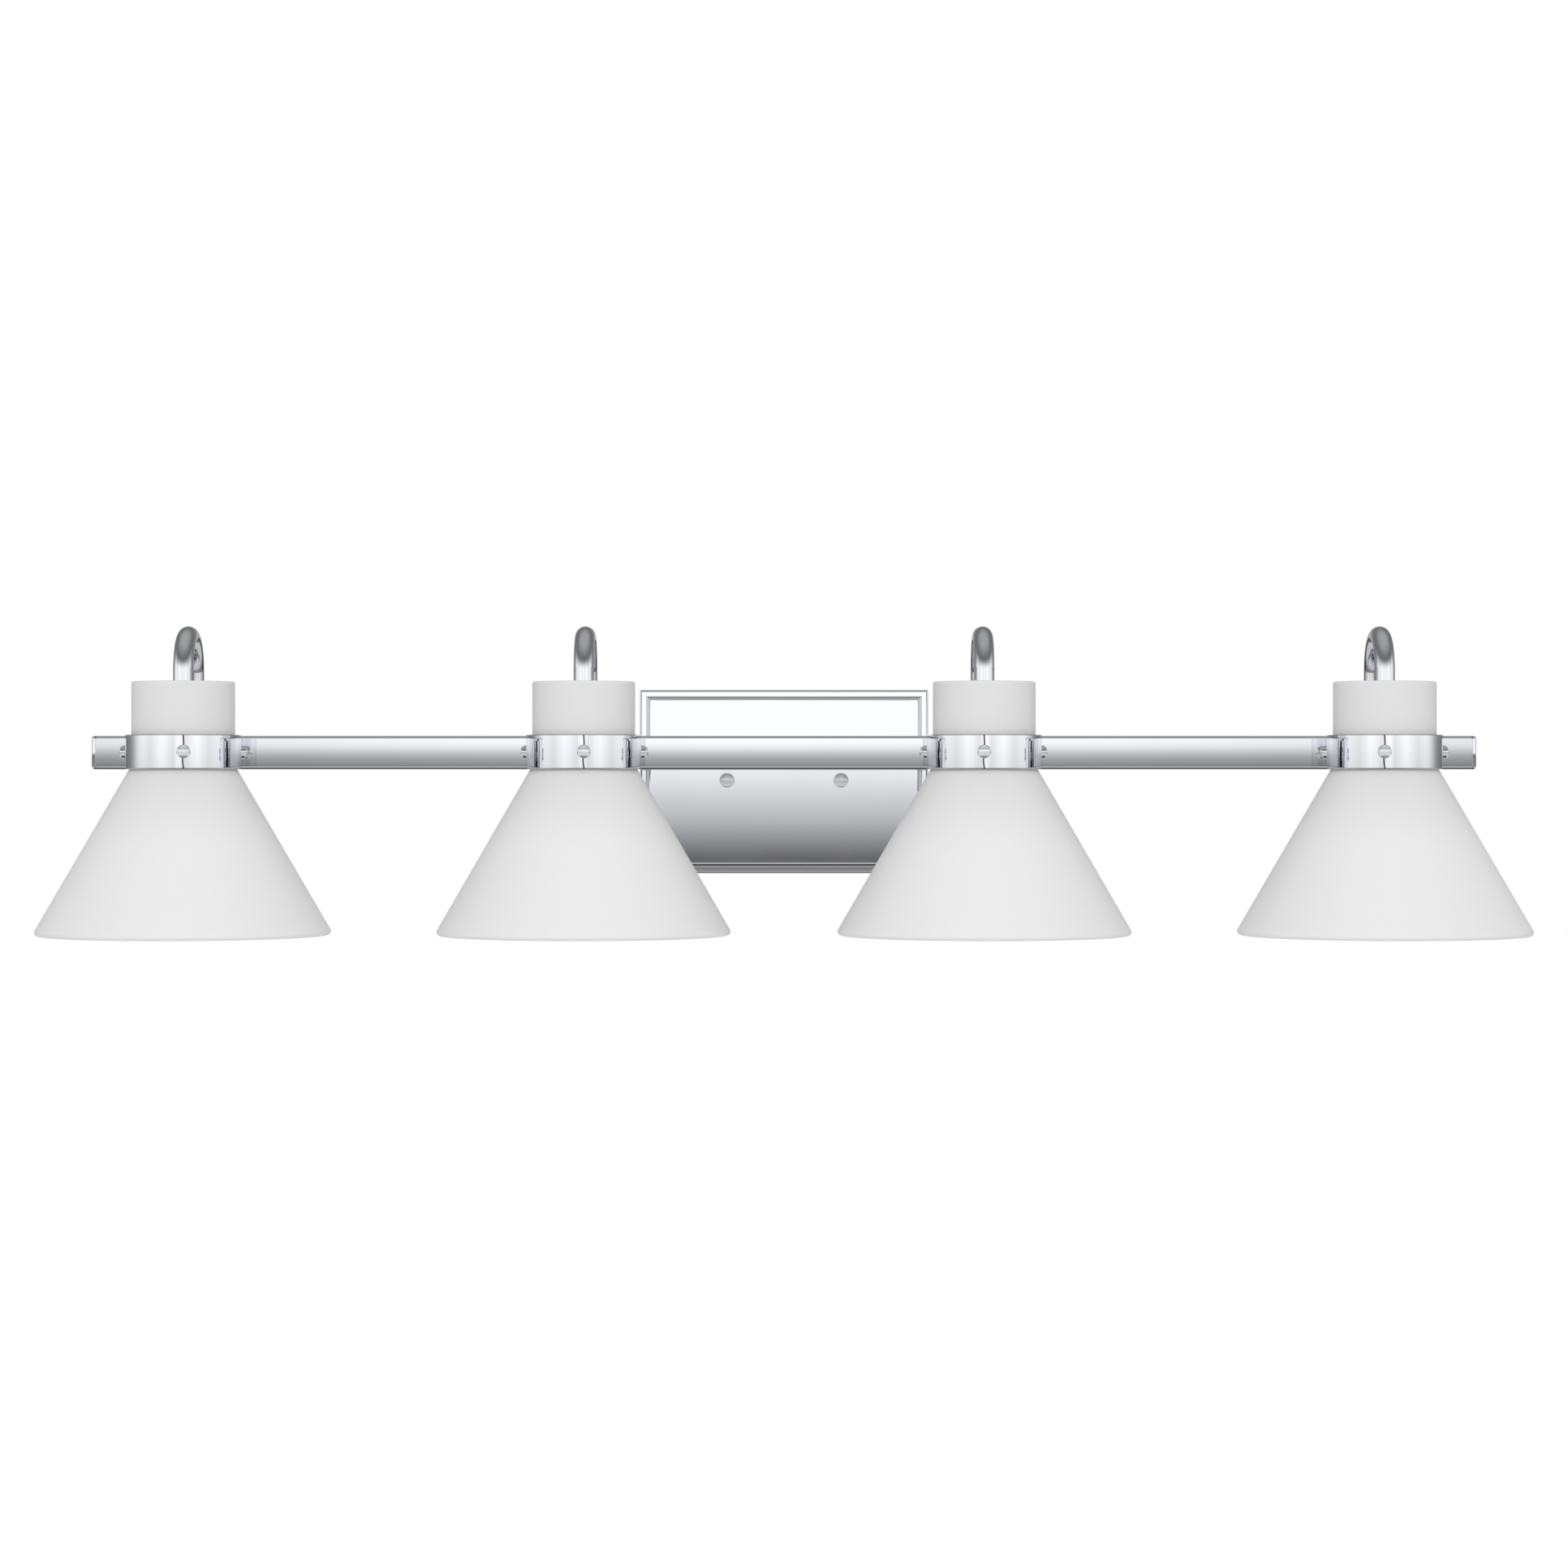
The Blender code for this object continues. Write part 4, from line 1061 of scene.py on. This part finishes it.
# %% Make the earth screw
seat = wall_reach("crossbar")[1] + FIT_GAP
foot, head = wall_reach("ground_screw")
screw = turned([(0.0, seat + 0.7 * MM), (3.2 * MM, seat + 0.7 * MM), (3.75 * MM, seat + 0.4 * MM),
                (3.75 * MM, seat), (1.9 * MM, seat), (1.9 * MM, foot), (0.0, foot)], SMALL_STEPS)
hexagon = hexagon_nut(5.5 * MM, 0, seat + 0.5 * MM, head, 48)
carrier = bpy.data.meshes.new("carrier")
hexagon.to_mesh(carrier)
hexagon.free()
screw.from_mesh(carrier)
bpy.data.meshes.remove(carrier)
screw = on_wall(screw, "ground_screw")
piece("earth_screw", screw, green_zinc, "ground_screw")
print("earth screw:", round((head - foot) / MM, 1), "mm long")

# %% [markdown]
# ## The wires
# Two wires run from each socket through the arm, the bar and a post, and end in stripped tails inside the
# canopy. They are held all along their way, so each is a plain tube on a fixed route. The pair is twisted:
# each wire circles the route, half a turn from the other.

# %% Draw the wires' routes
WIRE_RADIUS = 0.6 * MM
TWIST_PITCH = 11.0 * MM
ROUTE_STEP = 1.4 * MM


def straight(route, stop):
    """Carries a route on to a point in equal steps."""
    start = route[-1]
    count = max(1, round((stop - start).length / ROUTE_STEP))
    route += [start + (stop - start) * (share + 1) / count for share in range(count)]


def rounded_route(corners, radii):
    """Points along straight runs joined by quarter turns."""
    corners = [Vector(corner) for corner in corners]
    route = corners[:1]
    for before, corner, after, radius in zip(corners, corners[1:], corners[2:], radii):
        back = (before - corner).normalized()
        ahead = (after - corner).normalized()
        centre = corner + (back + ahead) * radius
        steps = max(4, round(radius / ROUTE_STEP * math.pi / 2))
        for step in range(steps + 1):
            angle = math.pi / 2 * step / steps
            spot = centre - ahead * radius * math.cos(angle) - back * radius * math.sin(angle)
            if (spot - route[-1]).length >= 0.05 * MM:
                straight(route, spot)
    straight(route, corners[-1])
    return route


def twisted(route, phase):
    """Moves each point of a route off to one side, and turns that side steadily along the route."""
    side = Vector((1, 0, 0))
    travelled, strand = 0.0, []
    for index, spot in enumerate(route):
        beyond = route[min(index + 1, len(route) - 1)]
        ahead = (beyond - route[max(index - 1, 0)]).normalized()
        side = (side - ahead * side.dot(ahead)).normalized()
        angle = phase + math.tau * travelled / TWIST_PITCH
        strand.append(spot + WIRE_RADIUS * (side * math.cos(angle) + ahead.cross(side) * math.sin(angle)))
        travelled += (beyond - spot).length
    return strand


print("a twist takes", round(TWIST_PITCH / ROUTE_STEP), "points")

# %% [markdown]
# A wire is a curve with a round bevel. The black one of each pair stands for the pair's node.

# %% Lay the twisted pairs
LANE = 1.8 * MM
TAIL = 24.0 * MM
TAIL_DEPTH = 12.0 * MM
LEAD_BEND = 2.4 * MM
STRIPPED = round(7.0 * MM / ROUTE_STEP)


def wire(name, points, radius, material, node=""):
    curve = bpy.data.curves.new(name, "CURVE")
    curve.dimensions = "3D"
    curve.bevel_depth = radius
    curve.bevel_resolution = 2
    curve.use_fill_caps = True
    spline = curve.splines.new("POLY")
    spline.points.add(len(points) - 1)
    for point, spot in zip(spline.points, points):
        point.co = (*spot, 1.0)
    curve.materials.append(material)
    finished(bpy.data.objects.new(name, curve), node, "fixture")


bar_centre = middle("bar_tube")
for n, axis in LAMP_AXES.items():
    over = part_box(f"arm_{n}")[1].z - half_size(f"arm_{n}").x
    lane = -LANE if n in (1, 4) else LANE
    run = bar_centre.z + lane
    post_x = math.copysign(abs(middle("bar_post_right").x), axis.x)
    start_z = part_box(f"socket_body_{n}")[1].z - SOCKET_WEB + 1.5 * MM
    corners = [
        (axis.x, axis.y, start_z), (axis.x, axis.y, over), (axis.x, bar_centre.y, over),
        (axis.x, bar_centre.y, run), (post_x, bar_centre.y, run), (post_x, -TAIL_DEPTH, run),
        (post_x, -TAIL_DEPTH, run + math.copysign(TAIL, lane))]
    bend = (bar_centre.y - axis.y) / 2
    route = rounded_route(corners, [bend, bend, LEAD_BEND, LEAD_BEND, LEAD_BEND])
    for index, (word, jacket) in enumerate(jackets.items()):
        strand = twisted(route, index * math.pi)
        pair = f"lamp_lead_{n}" if index == 0 else ""
        wire(f"{word}_wire_{n}", strand[:-STRIPPED], WIRE_RADIUS, jacket, pair)
        wire(f"{word}_wire_{n}_copper", strand[-STRIPPED - 2:], WIRE_RADIUS * 0.62, copper)
print("wire pairs:", len(LAMPS))

# %% [markdown]
# ## The studio
# A chrome bar is only as good as what it mirrors, and real cards would stand in front of the camera, so the
# picture for the chrome is drawn in the world by direction. At level height a soft seam goes from grey below
# to white above, bright in front and dark at the back. Overhead is a dim ceiling with a paler middle. Below
# lies a glowing floor, dark straight underfoot.

# %% Draw the mirrored studio
LEVEL_GAIN = 1.3  # ramps hold values up to 1, and this scales them
HORIZON = 0.03  # the seam lies between these sines of elevation, below and above level
SEAM = (
    (-0.03, 0.30), (-0.0215, 0.30), (-0.02, 0.14), (-0.0188, 0.16), (-0.0172, 0.23), (-0.0155, 0.30),
    (-0.0138, 0.38), (-0.0122, 0.445), (-0.0097, 0.58), (-0.0072, 0.67), (-0.0039, 0.79), (-0.0004, 0.93),
    (0.0018, 1.02), (0.005, 1.12), (0.0092, 1.22), (0.012, 1.27), (0.03, 1.27))
AROUND = (  # 1 is straight in front and -1 behind
    (-1.0, 0.40), (-0.95, 0.24), (-0.809, 0.16), (-0.669, 0.19), (-0.5, 0.24), (-0.309, 0.38),
    (-0.105, 0.66), (0.105, 0.84), (0.309, 0.82), (0.5, 0.76), (0.669, 0.86), (0.809, 0.97),
    (0.914, 0.90), (0.978, 0.78), (0.986, 0.79), (0.995, 0.90), (0.9985, 0.97), (1.0, 0.97))
ZONES = (  # from one sine of elevation to the other, the picture turns to this grey
    (0.1, 0.52, 0.19), (0.55, 0.99, 0.42), (-0.08, -0.3, 0.62), (-0.6, -0.9, 0.03))
world = bpy.data.worlds.new("white_studio")
bpy.context.scene.world = world
world.use_nodes = True
tree = world.node_tree
tree.nodes.clear()
looking = add_node(tree, "TexCoord", {}).outputs["Generated"]
parts = add_node(tree, "SeparateXYZ", {"Vector": looking}).outputs
flat_way = add_node(tree, "CombineXYZ", {"X": parts["X"], "Y": parts["Y"], "Z": 0.0})
flat_unit = add_node(tree, "VectorMath", {0: flat_way.outputs["Vector"]}, operation="NORMALIZE")
forward = add_node(
    tree, "VectorMath", {0: flat_unit.outputs["Vector"], 1: (0, -1, 0)}, operation="DOT_PRODUCT")
bands = []
for value, reach, stops in ((parts["Z"], HORIZON, SEAM), (forward.outputs["Value"], 1.0, AROUND)):
    place = add_node(tree, "MapRange", {"Value": value, "From Min": -reach, "From Max": reach})
    band = add_node(tree, "ValToRGB", {"Fac": place.outputs["Result"]})
    marks = band.color_ramp.elements
    marks.remove(marks[-1])
    marks[0].position = 0.0
    for spot, light in stops[1:]:
        marks.new((spot + reach) / (2 * reach))
    for mark, (_, light) in zip(marks, stops):
        mark.color = (*[light / LEVEL_GAIN] * 3, 1.0)
    bands.append(band.outputs["Color"])
mirrored = add_node(
    tree, "Mix", {0: 1.0, 6: bands[0], 7: bands[1]}, data_type="RGBA", blend_type="MULTIPLY")
for start, stop, light in ZONES:
    share = add_node(
        tree, "MapRange", {"Value": parts["Z"], "From Min": start, "From Max": stop},
        interpolation_type="SMOOTHSTEP").outputs["Result"]
    grey = (*[light / LEVEL_GAIN ** 2] * 3, 1.0)
    mirrored = add_node(
        tree, "Mix", {0: share, 6: mirrored.outputs[2], 7: grey}, data_type="RGBA")
print("the mirrored studio takes", len(tree.nodes), "nodes")

# %% [markdown]
# Only glossy rays see that picture. The camera sees plain white, and matt surfaces get an even light.

# %% Give each kind of ray its own light
EVEN_LIGHT = 0.80
WHITE = (1, 1, 1, 1)
ray = add_node(tree, "LightPath", {}).outputs
matt, glossy, backdrop = (
    add_node(tree, "Background", {"Color": hue, "Strength": strength}).outputs[0]
    for hue, strength in ((WHITE, EVEN_LIGHT), (mirrored.outputs[2], LEVEL_GAIN ** 2), (WHITE, 1.0)))
for_glossy = add_node(tree, "MixShader", {0: ray["Is Glossy Ray"], 1: matt, 2: glossy})
for_camera = add_node(
    tree, "MixShader", {0: ray["Is Camera Ray"], 1: for_glossy.outputs[0], 2: backdrop})
add_node(tree, "OutputWorld", {"Surface": for_camera.outputs[0]})
bpy.context.scene.view_settings.view_transform = "Standard"
print("even light:", EVEN_LIGHT)

# %% [markdown]
# One broad light in front and above gives the glass its gentle roundness, without hard shadows. It stays
# out of the chrome, which has its own picture to mirror.

# %% Hang the soft light
soft_box = bpy.data.lights.new("soft_box", "AREA")
soft_box.shape = "SQUARE"
soft_box.size = 2.4
soft_box.energy = 30.0
lamp_stand = bpy.data.objects.new("soft_box", soft_box)
bpy.context.scene.collection.objects.link(lamp_stand)
lamp_stand.location = (0.0, -2.6, 1.3)
lamp_stand.rotation_euler = (-Vector(lamp_stand.location)).to_track_quat("-Z", "Y").to_euler()
lamp_stand.visible_glossy = False
lamp_stand.visible_camera = False
print("soft light:", round(lamp_stand.location.length, 2), "m away")

# %% [markdown]
# The floor is a pale disc well below the lamp. It fades to the backdrop's white at its rim, and it is clear
# from below, so that the lamp can be looked up at.

# %% Lay the floor
FLOOR_LEVEL = -1.1
FLOOR_RADIUS = 1.7
FADE_START, FADE_END = 0.6, 1.65
pale_floor, tree, shader = new_material("pale_studio_floor", Roughness=0.9)
where = patterned(tree, shader, 0.4, ("#F4F4F3", "#F1F1F0"), (0.85, 0.95))
out = add_node(tree, "VectorMath", {0: where, 1: (0.0, 0.0, -FLOOR_LEVEL)}, operation="ADD")
distance = add_node(tree, "VectorMath", {0: out.outputs["Vector"]}, operation="LENGTH")
fade = add_node(
    tree, "MapRange",
    {"Value": distance.outputs["Value"], "From Min": FADE_START, "From Max": FADE_END},
    interpolation_type="SMOOTHSTEP")
white = add_node(tree, "Emission", {"Color": WHITE, "Strength": 1.0})
blend = add_node(
    tree, "MixShader", {0: fade.outputs["Result"], 1: shader.outputs[0], 2: white.outputs[0]})
below = add_node(tree, "NewGeometry", {}).outputs["Backfacing"]
clear = add_node(tree, "BsdfTransparent", {})
one_sided = add_node(tree, "MixShader", {0: below, 1: blend.outputs[0], 2: clear.outputs[0]})
tree.links.new(one_sided.outputs[0], tree.nodes["Material Output"].inputs["Surface"])
disc = bmesh.new()
level = Matrix.Translation((0, 0, FLOOR_LEVEL))
ops.create_circle(disc, cap_ends=True, segments=96, radius=FLOOR_RADIUS, matrix=level)
for face in disc.faces:
    face.normal_update()
    if face.normal.z < 0:
        face.normal_flip()
floor_mesh = bpy.data.meshes.new("studio_floor")
disc.to_mesh(floor_mesh)
disc.free()
floor_mesh.materials.append(pale_floor)
floor = bpy.data.objects.new("studio_floor", floor_mesh)
bpy.context.scene.collection.objects.link(floor)
floor.visible_glossy = False
print("floor:", -FLOOR_LEVEL, "m below the bar's canopy")

# %% [markdown]
# ## The camera
# The lamp is looked at straight on, from a little over two metres, with its glass rims just below eye level,
# so that their undersides stay hidden.

# %% Set the camera
lens = bpy.data.cameras.new("camera")
lens.lens = 90.1
lens.sensor_width = 36.0
camera = bpy.data.objects.new("camera", lens)
bpy.context.scene.collection.objects.link(camera)
camera.location = (0.0, -2.308, -0.0014)
camera.rotation_euler = (math.radians(90), 0.0, 0.0)
bpy.context.scene.camera = camera
print("viewing angle:", round(math.degrees(lens.angle), 1), "degrees")

# %% [markdown]
# ## Triangle count
# The triangles are counted as they will be rendered. The finished model must stay inside the
# engineering model's box.

# %% Count the triangles and finish
triangles = 0
depsgraph = bpy.context.evaluated_depsgraph_get()
for item in made_pieces:
    shown = item.evaluated_get(depsgraph)
    triangles += sum(len(face.vertices) - 2 for face in shown.to_mesh().polygons)
    shown.to_mesh_clear()
print("pieces:", len(made_pieces), "triangles:", triangles)
